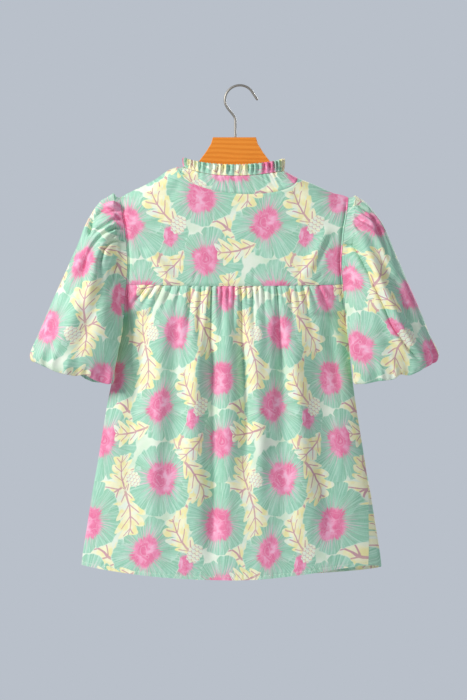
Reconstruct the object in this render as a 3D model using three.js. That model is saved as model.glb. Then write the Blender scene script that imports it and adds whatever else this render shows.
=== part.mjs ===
import * as THREE from "three";

// A puff-sleeved cotton blouse on a wooden hanger, hanging still.
// Millimetres, +Z up. The front of the blouse faces -Y and the wearer's left is +X.
// The origin is the inside top of the hook, where a rail or a nail carries it.

// Driving sizes
const CLOTH = 1.6; // wall of panels, sleeves and cuffs
const FINE_CLOTH = 1.2; // wall of the neck band and its ruffle
const SEAM_GAP = 0.3; // between two sewn pieces
const SEAM_ANGLE = 0.08; // half the same gap, as an angle round the body
const STEM_X = 7.2; // the hook's stem, beside the point that carries it
const BLOUSE_X = 8.5; // middle of the shoulders, beside the same point

const ROLL = 22; // radius of the cloth where it turns over the shoulder
const YOKE_SEAM = { middle: -320, side: -317 };
const HEM = { middle: -786, side: -765 };
const ARMHOLE = { top: -178, foot: -365, halfDepth: 22, clear: 0.5 };
// Rings of the neck, each by its two ends and its lowest places: the seam, then the tops of band and ruffle
const NECK = { x: -4.5, halfWidth: 96.5, left: -129.5, right: -147, back: -174, backSkew: 0.07, front: -215 };
const STAND = {
  x: 1, halfWidth: 80, left: -128.5, right: -135, back: -144.5, front: -187, yBack: 20, yFront: -26,
};
const FRILL = {
  x: 1, halfWidth: 79, left: -115, right: -116.5, back: -127, front: -168, yBack: 21.5, yFront: -28,
};
const NECK_COLUMNS = 16; // across the back of the neck, and as many across the front
const FRILL_WAVES = 50;
const YOKE_GATHERS = 24;
const GATHER_ZONE = { left: 135, right: -137 };
const SLEEVE_COLUMNS = 56; // every second one is the top of a gather at the sleeve head
const HEAD_GATHER_REACH = 82; // along the armhole, either side of the shoulder

const WOOD = { thickness: 12, bevel: 2, armHeight: 33, tipHeight: 21, reach: 172 };
const WOOD_CLEARANCE = 2.7; // between the wood and the cloth that lies over it
const HOOK = { wire: 3.8, radius: 22.1, sides: 8, seat: -81.6 };

// Shoulder line as it hangs, from the wearer's right to the left
const SHOULDER_LINE = [
  { x: -182, z: -178 }, { x: -172, z: -174 }, { x: -160, z: -171.5 }, { x: -130, z: -158.5 },
  { x: -111, z: -151 }, { x: -101, z: -147 }, { x: -80, z: -138 }, { x: -40, z: -122 },
  { x: 0, z: -112 }, { x: 40, z: -112 }, { x: 70, z: -120 }, { x: 92, z: -129.5 },
  { x: 106, z: -134.5 }, { x: 125, z: -148 }, { x: 145, z: -159 }, { x: 160, z: -166 },
  { x: 172, z: -172 }, { x: 182, z: -178 },
];

// Half the width of the flat-hung body down its length, and how far its middle leans to the left
const BODY_WIDTH = [
  { z: -800, half: 243, middle: 5 }, { z: -751, half: 238, middle: 5 }, { z: -700, half: 230, middle: 5 },
  { z: -649, half: 222, middle: 5 }, { z: -598, half: 213, middle: 5 }, { z: -521, half: 200.5, middle: 5 },
  { z: -470, half: 192, middle: 3.5 }, { z: -418, half: 184.5, middle: 1.5 },
  { z: -365, half: 177, middle: 0 }, { z: -318, half: 172.3, middle: 0 }, { z: -284, half: 170, middle: 0 },
  { z: -250, half: 172.3, middle: 0 }, { z: -228, half: 174.6, middle: 0 }, { z: -210, half: 178, middle: 0 },
  { z: -178, half: 182, middle: 0 },
];

// How far the back and the front stand off the middle plane
const BODY_DEPTH = [
  { z: -800, back: 40, front: 36 }, { z: -640, back: 38, front: 35 }, { z: -500, back: 36, front: 34 },
  { z: -400, back: 33, front: 32 }, { z: -320, back: 30, front: 30 }, { z: -250, back: 25, front: 28 },
  { z: -183, back: 22, front: 25 }, { z: -110, back: 21, front: 22 },
];

// Where the right side seam has swung round on to the back: its angle round the body
const SIDE_SEAM_SWING = [
  { z: -800, angle: 62 }, { z: -700, angle: 72 }, { z: -560, angle: 90 }, { z: -300, angle: 90 },
];

// Broad soft folds of the body: each runs from its top to its foot, and a height below 0 is a trough
const BODY_FOLDS = [
  { side: 1, topX: 116, topZ: -345, footX: 128, footZ: -760, width: 13, height: 5 },
  { side: 1, topX: 90, topZ: -350, footX: 98, footZ: -700, width: 11, height: -4 },
  { side: 1, topX: 66, topZ: -340, footX: 74, footZ: -700, width: 12, height: 5.5 },
  { side: 1, topX: 34, topZ: -345, footX: 33, footZ: -770, width: 10, height: -6 },
  { side: 1, topX: 12, topZ: -345, footX: 8, footZ: -680, width: 12, height: 4 },
  { side: 1, topX: -10, topZ: -345, footX: -20, footZ: -620, width: 9, height: -6 },
  { side: 1, topX: -34, topZ: -345, footX: -44, footZ: -740, width: 13, height: 5 },
  { side: 1, topX: -68, topZ: -345, footX: -80, footZ: -680, width: 10, height: -4.5 },
  { side: 1, topX: -96, topZ: -350, footX: -112, footZ: -760, width: 14, height: 5 },
  { side: 1, topX: -136, topZ: -380, footX: -160, footZ: -700, width: 14, height: -4 },
  { side: 1, topX: 150, topZ: -395, footX: 176, footZ: -720, width: 14, height: -4 },
  { side: 1, topX: 140, topZ: -258, footX: 98, footZ: -312, width: 9, height: 3.5 },
  { side: 1, topX: -150, topZ: -222, footX: -112, footZ: -312, width: 9, height: 3.5 },
  { side: -1, topX: 120, topZ: -330, footX: 138, footZ: -760, width: 16, height: 5 },
  { side: -1, topX: 62, topZ: -260, footX: 76, footZ: -700, width: 15, height: -5 },
  { side: -1, topX: 18, topZ: -250, footX: 14, footZ: -760, width: 16, height: 5 },
  { side: -1, topX: -48, topZ: -260, footX: -58, footZ: -700, width: 15, height: -5 },
  { side: -1, topX: -106, topZ: -330, footX: -128, footZ: -760, width: 16, height: 5 },
];

// The left sleeve from the armhole to the turned-under edge: outer and inner line, half depth,
// how far it stands behind the body, and how far it laps over the body's side seen from behind
const SLEEVE_ROWS = [
  { t: 0.05, outX: 193, outZ: -177.5, inX: 180, inZ: -367.5, half: 27, behind: 0, lap: 0 },
  { t: 0.14, outX: 211, outZ: -190, inX: 181.5, inZ: -376, half: 33, behind: 2, lap: 5 },
  { t: 0.28, outX: 231, outZ: -216, inX: 183.5, inZ: -390, half: 39, behind: 5, lap: 8 },
  { t: 0.45, outX: 252, outZ: -263, inX: 187, inZ: -411, half: 44, behind: 8, lap: 9 },
  { t: 0.65, outX: 276, outZ: -320, inX: 191, inZ: -434, half: 45, behind: 10, lap: 8 },
  { t: 0.85, outX: 305, outZ: -389, inX: 195, inZ: -455, half: 43, behind: 11, lap: 6 },
  { t: 1.0, outX: 321, outZ: -431, inX: 197, inZ: -468, half: 36, behind: 11, lap: 3 },
  { t: 1.1, outX: 316, outZ: -441, inX: 202, inZ: -474, half: 31, behind: 11, lap: 0 },
  { t: 1.2, outX: 305, outZ: -441, inX: 210, inZ: -470, half: 26, behind: 11, lap: 0 },
];
const TURNED_EDGE = 1.2; // the t where the sleeve meets its cuff
const CUFF_HEIGHT = 12;
const LAP_ANGLE = 150; // where round the sleeve the lap lies, from its outer line
const LAP_SPREAD = 15;

// Broad folds of the sleeves: the angle is from the outer line and positive at the back
const SLEEVE_FOLDS = [
  { angle: 22, drift: 14, start: 0.02, end: 0.5, spread: 8, height: -4 },
  { angle: 62, drift: -22, start: 0.1, end: 0.9, spread: 9, height: -5 },
  { angle: 100, drift: -10, start: 0.15, end: 1.0, spread: 11, height: -4 },
  { angle: 80, drift: -14, start: 0.2, end: 1.0, spread: 9, height: 3.5 },
  { angle: -60, drift: 20, start: 0.1, end: 0.9, spread: 10, height: -4.5 },
  { angle: -100, drift: 10, start: 0.2, end: 1.0, spread: 11, height: -4 },
];

// Hanger outline from the neck's top corner out to the tip; past the neck it keeps under the cloth
const WOOD_NECK = [
  { x: 34.5, z: -81.6 }, { x: 37.5, z: -92 }, { x: 46.5, z: -106.4 }, { x: 55, z: -117.5 },
  { x: 66, z: -132 }, { x: 78, z: -144 }, { x: 92, z: -151 },
];
const WOOD_ARM_X = [106, 116, 126, 136, 146, 156, 164, 172];

// Small helpers

const radians = THREE.MathUtils.degToRad;
const clamp = THREE.MathUtils.clamp;
const mix = THREE.MathUtils.lerp;
const smooth = (from, to, value) => THREE.MathUtils.smoothstep(value, from, to);
const steps = (count) => Array.from({ length: count + 1 }, (_, i) => i / count);

// Reads a table at any place along one column, on a smooth curve that never overshoots its rows.
function readTable(rows, by, column, at) {
  const ordered = rows[0][by] < rows[rows.length - 1][by] ? rows : [...rows].reverse();
  const last = ordered.length - 1;
  if (at <= ordered[0][by]) return ordered[0][column];
  if (at >= ordered[last][by]) return ordered[last][column];
  const change = (i, name) => ordered[i + 1][name] - ordered[i][name];
  const slope = (i) => change(i, column) / change(i, by);
  const tangent = (i) => {
    if (i === 0 || i === last) return slope(Math.min(i, last - 1));
    const before = slope(i - 1);
    const after = slope(i);
    return before * after <= 0 ? 0 : (2 * before * after) / (before + after);
  };
  const k = ordered.findIndex((row) => row[by] > at) - 1;
  const span = ordered[k + 1][by] - ordered[k][by];
  const f = (at - ordered[k][by]) / span;
  const a = ordered[k][column];
  const b = ordered[k + 1][column];
  const ease = f * f * (3 - 2 * f);
  return a + (b - a) * ease + span * f * (1 - f) * ((1 - f) * tangent(k) - f * tangent(k + 1));
}

// A closed mesh from points and triangles, with its faces turned outwards.
function solid(name, points, triangles, finish) {
  let volume = 0;
  const cross = new THREE.Vector3();
  for (const [a, b, c] of triangles) volume += points[a].dot(cross.crossVectors(points[b], points[c]));
  const order = volume > 0 ? [0, 1, 2] : [0, 2, 1];
  const geometry = new THREE.BufferGeometry();
  const positions = points.flatMap((p) => [p.x, p.y, p.z]);
  geometry.setAttribute("position", new THREE.Float32BufferAttribute(positions, 3));
  geometry.setIndex(triangles.flatMap((corners) => order.map((i) => corners[i])));
  geometry.computeVertexNormals();
  const mesh = new THREE.Mesh(geometry, finish);
  mesh.name = name;
  return mesh;
}

// The point past a sheet's edge that carries on straight from the two points inside it.
const carryOn = (edge, inner) => edge.clone().multiplyScalar(2).sub(inner);
// The point past an edge that meets its mirror image in the middle plane.
const mirrorOver = (edge, inner) => new THREE.Vector3(inner.x, -inner.y, inner.z);

// Direction of the wall at one point, and how much longer its offset is at a crease: the two sides of
// a crease each give a unit vector, and the shorter their sum, the sharper the crease.
const SHARPEST_CREASE = 2.6;
function wallNormal(point, before, after, above, below) {
  const along = [point.clone().sub(before).normalize(), after.clone().sub(point).normalize()];
  const down = [point.clone().sub(above).normalize(), below.clone().sub(point).normalize()];
  const u = along[0].clone().add(along[1]);
  const v = down[0].clone().add(down[1]);
  const stretch = 4 / Math.max(u.length() * v.length(), SHARPEST_CREASE);
  return { normal: u.cross(v).normalize(), stretch };
}

// Closes a grid of mid-surface points, rows by columns, into a wall of even thickness.
// past gives the points beyond each open edge, flatten names the axes that an edge normal drops,
// and seamNormal gives the direction of the wall on an edge that two pieces share.
function wall(name, grid, thickness, finish, options) {
  const { ring = false, past = {}, flatten = () => "", seamNormal = () => null } = options;
  const rows = grid.length;
  const columns = grid[0].length;
  const beyond = { top: carryOn, bottom: carryOn, left: carryOn, right: carryOn };
  const ghost = (edge, index, at, inner) => {
    const rule = past[edge] ? past[edge](index) : null;
    if (rule instanceof THREE.Vector3) return rule;
    return (rule || beyond[edge])(at, inner);
  };
  const points = [];
  for (const side of [1, -1]) {
    grid.forEach((row, j) => row.forEach((point, i) => {
      const outerLeft = () => (ring ? row[columns - 1] : ghost("left", j, point, row[1]));
      const outerRight = () => (ring ? row[0] : ghost("right", j, point, row[columns - 2]));
      const before = i > 0 ? row[i - 1] : outerLeft();
      const after = i < columns - 1 ? row[i + 1] : outerRight();
      const above = j > 0 ? grid[j - 1][i] : ghost("top", i, point, grid[1][i]);
      const below = j < rows - 1 ? grid[j + 1][i] : ghost("bottom", i, point, grid[rows - 2][i]);
      const { normal, stretch } = wallNormal(point, before, after, above, below);
      for (const axis of flatten(j, i)) normal[axis] = 0;
      normal.normalize();
      const given = seamNormal(j, i, point);
      if (given) normal.copy(given.dot(normal) < 0 ? given.negate() : given);
      points.push(point.clone().addScaledVector(normal, side * (given ? 1 : stretch) * thickness / 2));
    }));
  }
  const half = rows * columns;
  const at = (j, i) => j * columns + (i % columns);
  const lastColumn = ring ? columns : columns - 1;
  const triangles = [];
  const quad = (a, b, c, d) => triangles.push([a, b, c], [a, c, d]);
  for (let j = 0; j < rows - 1; j++) {
    for (let i = 0; i < lastColumn; i++) {
      quad(at(j, i), at(j, i + 1), at(j + 1, i + 1), at(j + 1, i));
      quad(half + at(j, i), half + at(j + 1, i), half + at(j + 1, i + 1), half + at(j, i + 1));
    }
  }
  for (let i = 0; i < lastColumn; i++) {
    quad(at(0, i), half + at(0, i), half + at(0, i + 1), at(0, i + 1));
    quad(at(rows - 1, i), at(rows - 1, i + 1), half + at(rows - 1, i + 1), half + at(rows - 1, i));
  }
  for (let j = 0; j < rows - 1 && !ring; j++) {
    quad(at(j, 0), at(j + 1, 0), half + at(j + 1, 0), half + at(j, 0));
    const upper = at(j, columns - 1);
    const lower = at(j + 1, columns - 1);
    quad(upper, half + upper, half + lower, lower);
  }
  return solid(name, points, triangles, finish);
}

// Shape of the hanging body

const shoulderZ = (x) => readTable(SHOULDER_LINE, "x", "z", x);
const halfWidth = (z) => readTable(BODY_WIDTH, "z", "half", z);
const middleX = (z) => readTable(BODY_WIDTH, "z", "middle", z);
const sideSeamAngle = (z) => readTable(SIDE_SEAM_SWING, "z", "angle", z);

function armholeDepth(z) {
  const centre = (ARMHOLE.top + ARMHOLE.foot) / 2;
  const reach = (z - centre) / ((ARMHOLE.top - ARMHOLE.foot) / 2);
  return ARMHOLE.halfDepth * Math.sqrt(Math.max(0, 1 - reach * reach));
}

// The turn of the cloth over the shoulder: 0 on the shoulder line, 1 below it.
function rollOver(x, z) {
  const drop = Math.max(0, shoulderZ(x) - z);
  return drop < ROLL ? Math.sqrt(1 - (1 - drop / ROLL) ** 2) : 1;
}

function foldHeight(side, x, z) {
  let height = 0;
  for (const fold of BODY_FOLDS) {
    if (fold.side !== side) continue;
    const along = (z - fold.topZ) / (fold.footZ - fold.topZ);
    const line = mix(fold.topX, fold.footX, along);
    const spread = fold.width * (1 + 0.5 * clamp(along, 0, 1));
    const fade = smooth(0, 0.22, along) * (1 - smooth(0.62, 1.25, along));
    height += fold.height * fade * Math.exp(-(((x - line) / spread) ** 2));
  }
  return height;
}

// How fast the folds fade towards the side seams.
const FOLD_FADE = 4;

// A point of the body: angle 0 is the middle of the back, 90 the left side, 180 the middle of the front.
// A point right at the side belongs to the given side, which is 1 for the back and -1 for the front.
function bodyPoint(angle, z, atSide = 1, gather = 0) {
  const turn = Math.sin(radians(angle));
  const facing = Math.cos(radians(angle));
  const side = Math.abs(facing) < 1e-6 ? atSide : Math.sign(facing);
  const x = middleX(z) + halfWidth(z) * turn;
  const depth = readTable(BODY_DEPTH, "z", side > 0 ? "back" : "front", z);
  const closing = smooth(-430, -330, z);
  const toSide = Math.abs(turn) ** mix(2, 4, closing);
  const open = 1 - toSide;
  const power = mix(0.6, 1, closing);
  const edge = armholeDepth(z) * toSide;
  const fold = foldHeight(side, x, z) * Math.min(1, open * FOLD_FADE);
  const stand = edge + depth * rollOver(x, z) * open ** power + fold + gather;
  return new THREE.Vector3(x, side * stand, z);
}

const angleAcross = (s) => THREE.MathUtils.radToDeg(Math.asin(clamp(s, -1, 1)));
const frontAngle = (angle) => 180 - angle;
const seamZ = (s) => mix(YOKE_SEAM.middle, YOKE_SEAM.side, s * s);
const hemZ = (s) => mix(HEM.middle, HEM.side, s * s);

// Shape of the neck: three rings, each lower at the front than at the back

// Height of a ring's end at x, on the straight line between its two ends.
const endZ = (ring, x) => mix(ring.right, ring.left, (x - ring.x + ring.halfWidth) / (2 * ring.halfWidth));

const isShoulder = (angle) => Math.abs(Math.cos(radians(angle))) < 0.01;

// The neck seam, on the body. Angle 0 is the middle of the back, 90 the left shoulder.
function neckSeam(angle) {
  const x = NECK.x + NECK.halfWidth * Math.sin(radians(angle));
  const facing = Math.cos(radians(angle));
  const low = facing >= 0 ? NECK.back + NECK.backSkew * (x + 20) : NECK.front;
  const z = mix(endZ(NECK, x), low, Math.abs(facing));
  const across = angleAcross((x - middleX(z)) / halfWidth(z));
  const point = bodyPoint(facing >= 0 ? across : frontAngle(across), z);
  if (isShoulder(angle)) point.y = 0;
  return point;
}

function neckRing(ring, angle, power) {
  const x = ring.x + ring.halfWidth * Math.sin(radians(angle));
  const facing = Math.cos(radians(angle));
  const low = facing >= 0 ? ring.back : ring.front;
  const z = mix(endZ(ring, x), low, Math.abs(facing) ** power);
  const y = (facing >= 0 ? ring.yBack : ring.yFront) * Math.abs(facing) ** 0.6;
  return new THREE.Vector3(x, y, z);
}

// The stand dips evenly across the front, and more in the middle than at the sides across the back.
const dip = (angle) => (Math.cos(radians(angle)) >= 0 ? 1.6 : 1);
const standRing = (angle) => neckRing(STAND, angle, dip(angle));
const frillRing = (angle) => neckRing(FRILL, angle, dip(angle));

// Direction square to the neck seam, from the body up into the band. At the shoulders it runs
// along the shoulder line, and elsewhere it lies between the slopes of the body and of the band.
const SLOPE_REACH = 4; // how far from the seam the slope is read
function acrossNeck(angle) {
  const seam = neckSeam(angle);
  const facing = Math.cos(radians(angle));
  const away = SLOPE_REACH * (Math.sign(Math.sin(radians(angle))) || 1);
  const alongShoulder = new THREE.Vector3(-away, 0, shoulderZ(seam.x) - shoulderZ(seam.x + away));
  const z = seam.z - SLOPE_REACH;
  const across = angleAcross((seam.x - middleX(z)) / halfWidth(z));
  const below = bodyPoint(facing > 0 ? across : frontAngle(across), z);
  const upwards = seam.clone().lerp(standRing(angle), 0.2).sub(below).normalize();
  return alongShoulder.normalize().lerp(upwards, smooth(0.05, 0.6, Math.abs(facing))).normalize();
}

const besideNeck = (angle, distance) => neckSeam(angle).addScaledVector(acrossNeck(angle), distance);

// Direction of the wall on the neck seam, the same for the band and for the panel below it.
function neckSeamNormal(angle) {
  return neckSeam(angle + 2).sub(neckSeam(angle - 2)).cross(acrossNeck(angle)).normalize();
}

// Finishes

const printedCotton = new THREE.MeshStandardMaterial({ color: 0xb5dcc3, roughness: 0.85 });
const wood = new THREE.MeshStandardMaterial({ color: 0xdf8a3c, roughness: 0.55 });
const steel = new THREE.MeshStandardMaterial({ color: 0xc2c4c6, roughness: 0.3, metalness: 0.9 });

// Body panels

const TOP_WIDTH = halfWidth(ARMHOLE.top);
const SHOULDER_STEPS = steps(7);
// Angles round the back of the neck from left to right, closest together where it turns at the shoulders.
const neckAngles = steps(NECK_COLUMNS).map((f) => 90 * Math.cos(Math.PI * f));
// Columns across the shoulders: armhole, shoulder seam, neck seam, shoulder seam, armhole.
const shoulderColumns = [
  ...SHOULDER_STEPS.slice(0, -1).map((f) => ({ x: mix(TOP_WIDTH, NECK.x + NECK.halfWidth, f), neck: null })),
  ...neckAngles.map((neck) => ({ x: neckSeam(neck).x, neck })),
  ...SHOULDER_STEPS.slice(1).map((f) => ({ x: mix(NECK.x - NECK.halfWidth, -TOP_WIDTH, f), neck: null })),
];

const isCorner = (column) => column.neck !== null && isShoulder(column.neck);
const isNeck = (column) => column.neck !== null && !isCorner(column);

// Columns start at the neck seam's own spacing and are spread evenly between these two fractions down.
const EVEN_FROM = 0.005;
const EVEN_BY = 0.3;

// A panel that hangs from the shoulder and neck seams, as rows of points down the given fractions.
function hungPanel(side, fractions, footZ) {
  const toSide = (angle) => (side > 0 ? angle : frontAngle(angle));
  return fractions.map((down) => shoulderColumns.map((column, i) => {
    const evenX = mix(TOP_WIDTH, -TOP_WIDTH, i / (shoulderColumns.length - 1));
    const x = mix(column.x, evenX, smooth(EVEN_FROM, EVEN_BY, down));
    const s = clamp(x / TOP_WIDTH, -1, 1);
    const neckAngle = column.neck === null ? 0 : toSide(column.neck);
    const top = isNeck(column) ? neckSeam(neckAngle) : new THREE.Vector3(column.x, 0, shoulderZ(column.x));
    if (down === 0 && isNeck(column)) return besideNeck(neckAngle, -SEAM_GAP);
    if (down === 0 && isCorner(column)) top.x += Math.sign(top.x) * SEAM_GAP;
    if (down === 0) return top.setY(side * SEAM_GAP / 2);
    const z = mix(top.z, footZ(s), down);
    return offTheSeam(bodyPoint(toSide(sideSpread(side, x, z, TOP_WIDTH)), z, side), side);
  }));
}

// Angle round the body of a column further down, spread out to the side seams.
function sideSpread(side, x, z, width) {
  const angle = angleAcross(x / width);
  if (x >= 0) return angle;
  const gap = z < ARMHOLE.foot ? SEAM_ANGLE : 0;
  const swing = (side > 0 ? sideSeamAngle(z) : 180 - sideSeamAngle(z)) - gap;
  return (angle * swing) / 90;
}

// Keeps a point on its own side of the side seam.
function offTheSeam(point, side) {
  if (Math.abs(point.y) < SEAM_GAP / 2) point.y = side * SEAM_GAP / 2;
  return point;
}

// Direction of the wall on a side seam, the same for the two panels that meet there.
const SEAM_TURN = 4; // degrees either side of the seam
function sideSeamNormal(leftSide, z) {
  const angle = leftSide ? 90 : -sideSeamAngle(z);
  const across = bodyPoint(angle + SEAM_TURN, z).sub(bodyPoint(angle - SEAM_TURN, z));
  const down = bodyPoint(angle, z - SLOPE_REACH).sub(bodyPoint(angle, z));
  return across.cross(down).normalize();
}

// Walls of a panel run square to the seams that it shares, so that both pieces end on one line.
function panelSeamNormal(side, underarm, j, i, z) {
  const column = shoulderColumns[i];
  const isEdge = i === 0 || i === shoulderColumns.length - 1;
  if (j === 0 && isNeck(column)) return neckSeamNormal(side > 0 ? column.neck : frontAngle(column.neck));
  return isEdge && j >= underarm ? sideSeamNormal(i === 0, z) : null;
}

function backYoke() {
  const fractions = [0, 0.008, 0.028, 0.075, 0.16, 0.3, 0.5, 0.75, 1];
  const grid = hungPanel(1, fractions, (s) => seamZ(s) + SEAM_GAP / 2);
  const last = shoulderColumns.length - 1;
  return wall("back_yoke", grid, CLOTH, printedCotton, {
    past: { top: (i) => (isNeck(shoulderColumns[i]) ? carryOn : mirrorOver) },
    seamNormal: (j, i, point) => panelSeamNormal(1, Infinity, j, i, point.z),
    flatten: (j, i) => {
      const sides = i === 0 || i === last ? "x" : "";
      if (j === 0 && !isNeck(shoulderColumns[i])) return "y" + sides;
      return j === fractions.length - 1 ? "z" + sides : sides;
    },
  });
}

// The front is one cut. It is two nodes here, parted at the armhole's foot, so that collision stays open.
function frontPanels() {
  const aboveArmholeFoot = [0, 0.0018, 0.0065, 0.0175, 0.045, 0.1, 0.17, 0.245];
  const fractions = [...aboveArmholeFoot, 0.3186, 0.42, 0.55, 0.7, 0.85, 1];
  const underarm = aboveArmholeFoot.length;
  const grid = hungPanel(-1, fractions, hemZ);
  const last = shoulderColumns.length - 1;
  const parted = (rise) => grid[underarm].map((point) => point.clone().setZ(point.z + rise));
  const upperGrid = [...grid.slice(0, underarm), parted(SEAM_GAP / 2)];
  const lowerGrid = [parted(-SEAM_GAP / 2), ...grid.slice(underarm + 1)];
  const upper = wall("front_panel_upper", upperGrid, CLOTH, printedCotton, {
    past: {
      top: (i) => (isNeck(shoulderColumns[i]) ? carryOn : mirrorOver),
      bottom: (i) => grid[underarm + 1][i],
    },
    seamNormal: (j, i, point) => panelSeamNormal(-1, underarm, j, i, point.z),
    flatten: (j, i) => {
      const sides = i === 0 || i === last ? "x" : "";
      return j === 0 && !isNeck(shoulderColumns[i]) ? "y" + sides : sides;
    },
  });
  const lower = wall("front_panel_lower", lowerGrid, CLOTH, printedCotton, {
    past: { top: (i) => grid[underarm - 1][i] },
    seamNormal: (j, i, point) => panelSeamNormal(-1, 0, j + underarm, i, point.z),
    flatten: (j, i) => (i === 0 || i === last ? "x" : ""),
  });
  return [upper, lower];
}

const SEAM_HALF_WIDTH = halfWidth(YOKE_SEAM.side);
const WAVE = [0, 1, 0, -1]; // four columns make one gather

// Depth of the gathers under the yoke seam, by distance below it.
const GATHER_DEPTH = [
  { below: 0, depth: 0.25 }, { below: 5, depth: 1.4 }, { below: 14, depth: 2.3 }, { below: 40, depth: 2.2 },
  { below: 90, depth: 1.3 }, { below: 150, depth: 0.5 }, { below: 220, depth: 0 },
];

function backPanel() {
  const sideSteps = steps(6);
  const gatherSteps = steps(YOKE_GATHERS * 4);
  const columns = [
    ...sideSteps.slice(0, -1).map((f) => ({ x: mix(SEAM_HALF_WIDTH, GATHER_ZONE.left, f), wave: 0 })),
    ...gatherSteps.map((f, i) => ({ x: mix(GATHER_ZONE.left, GATHER_ZONE.right, f), wave: WAVE[i % 4] })),
    ...sideSteps.slice(1).map((f) => ({ x: mix(GATHER_ZONE.right, -SEAM_HALF_WIDTH, f), wave: 0 })),
  ];
  const aboveArmholeFoot = [0, 0.011, 0.03, 0.06];
  const fractions = [...aboveArmholeFoot, 0.107, 0.19, 0.31, 0.47, 0.7, 1];
  const underarm = aboveArmholeFoot.length;
  const grid = fractions.map((down) => columns.map((column, i) => {
    const s = column.x / SEAM_HALF_WIDTH;
    const top = seamZ(s) - SEAM_GAP / 2;
    const z = mix(top, hemZ(s), down);
    const uneven = 1 + 0.3 * Math.sin(i * 0.61) + 0.2 * Math.sin(i * 0.23 + 1);
    const gather = column.wave * uneven * readTable(GATHER_DEPTH, "below", "depth", top - z);
    return offTheSeam(bodyPoint(sideSpread(1, column.x, z, SEAM_HALF_WIDTH), z, 1, gather), 1);
  }));
  const isEdge = (i) => i === 0 || i === columns.length - 1;
  return wall("back_panel", grid, CLOTH, printedCotton, {
    seamNormal: (j, i, point) => (isEdge(i) && j >= underarm ? sideSeamNormal(i === 0, point.z) : null),
    flatten: (j, i) => (j === 0 ? "z" : "") + (isEdge(i) ? "x" : ""),
  });
}

// Neck band and ruffle

// All round the neck: across the back from the right shoulder, then across the front.
const bandAngles = [...[...neckAngles].reverse(), ...neckAngles.slice(1, -1).map(frontAngle)];

// The band's upper edge between its own columns, so that the ruffle sits right on it.
function bandTop(angle) {
  const ends = [...bandAngles, 270];
  const k = ends.findIndex((end) => end > angle) - 1;
  return standRing(ends[k]).lerp(standRing(ends[k + 1]), (angle - ends[k]) / (ends[k + 1] - ends[k]));
}

function neckBand() {
  const upper = (angle) => standRing(angle).lerp(neckSeam(angle), SEAM_GAP / 60);
  const lower = (angle) => besideNeck(angle, 1.8 * SEAM_GAP);
  const rows = [0, 0.5, 1];
  const grid = rows.map((up) => bandAngles.map((angle) => lower(angle).lerp(upper(angle), up)));
  return wall("neck_band", grid, FINE_CLOTH, printedCotton, {
    ring: true,
    past: { bottom: (i) => frillRing(bandAngles[i]) },
    seamNormal: (j, i) => (j === 0 ? neckSeamNormal(bandAngles[i]) : null),
  });
}

function neckRuffle() {
  const columns = FRILL_WAVES * 4;
  const around = steps(columns).slice(0, -1).map((f) => 360 * f - 90);
  const rise = [{ up: 0.05, depth: 0.2 }, { up: 0.45, depth: 1.7 }, { up: 1, depth: 2.4 }];
  const grid = rise.map(({ up, depth }) => around.map((angle, i) => {
    const point = bandTop(angle).lerp(frillRing(angle), up);
    const ahead = standRing(angle + 1).sub(standRing(angle - 1));
    const outward = new THREE.Vector3(-ahead.y, ahead.x, 0).normalize();
    return point.addScaledVector(outward, WAVE[i % 4] * depth * (1 + 0.25 * Math.sin(i * 0.37)));
  }));
  return wall("neck_ruffle", grid, FINE_CLOTH, printedCotton, {
    ring: true,
    past: { top: (i) => bandTop(around[i]).lerp(neckSeam(around[i]), 0.2) },
  });
}

// Sleeves

// Angles round the armhole that share its length evenly, from the shoulder point and back to it.
function armholeAngles() {
  const height = (ARMHOLE.top - ARMHOLE.foot) / 2;
  const fine = steps(720).map((f) => 360 * f);
  const arc = radians(fine[1]);
  const length = [0];
  for (let i = 1; i < fine.length; i++) {
    const middle = radians((fine[i] + fine[i - 1]) / 2);
    const speed = Math.hypot(height * Math.sin(middle), ARMHOLE.halfDepth * Math.cos(middle));
    length.push(length[i - 1] + arc * speed);
  }
  const perimeter = length[length.length - 1];
  const angleAt = (distance) => fine[length.findIndex((l) => l >= distance - 1e-9)];
  const angles = steps(SLEEVE_COLUMNS).slice(0, -1).map((f) => angleAt(f * perimeter));
  return { angles, perimeter };
}

const armhole = armholeAngles();

function sleeveRow(t) {
  const read = (column) => readTable(SLEEVE_ROWS, "t", column, t);
  const names = ["outX", "outZ", "inX", "inZ", "half", "behind", "lap"];
  return Object.fromEntries(names.map((name) => [name, read(name)]));
}

// A ring round the arm: angle 0 is its outer line, 90 its back, 180 its inner line.
function armRing(row, angle) {
  const out = new THREE.Vector3(row.outX, 0, row.outZ);
  const inner = new THREE.Vector3(row.inX, 0, row.inZ);
  const centre = out.clone().add(inner).multiplyScalar(0.5);
  const turn = radians(angle);
  const point = centre.clone().addScaledVector(out.clone().sub(centre), Math.cos(turn));
  point.y = row.behind + row.half * Math.sin(turn);
  const outward = out.clone().sub(centre).multiplyScalar(Math.cos(turn) / out.distanceToSquared(centre));
  outward.y = Math.sin(turn) / row.half;
  return { point, outward: outward.normalize() };
}

// The armhole's edge on the sleeve's side, clear of the panels' walls by most where they lean outwards.
function armholePoint(angle) {
  const centre = (ARMHOLE.top + ARMHOLE.foot) / 2;
  const z = centre + ((ARMHOLE.top - ARMHOLE.foot) / 2) * Math.cos(radians(angle));
  const around = Math.abs(angle);
  const atBack = smooth(40, 70, around) * (1 - smooth(110, 130, around));
  const clear = ARMHOLE.clear + 0.45 * atBack + 0.9 * smooth(120, 175, around);
  return new THREE.Vector3(halfWidth(z) + clear, ARMHOLE.halfDepth * Math.sin(radians(angle)), z);
}

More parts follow.
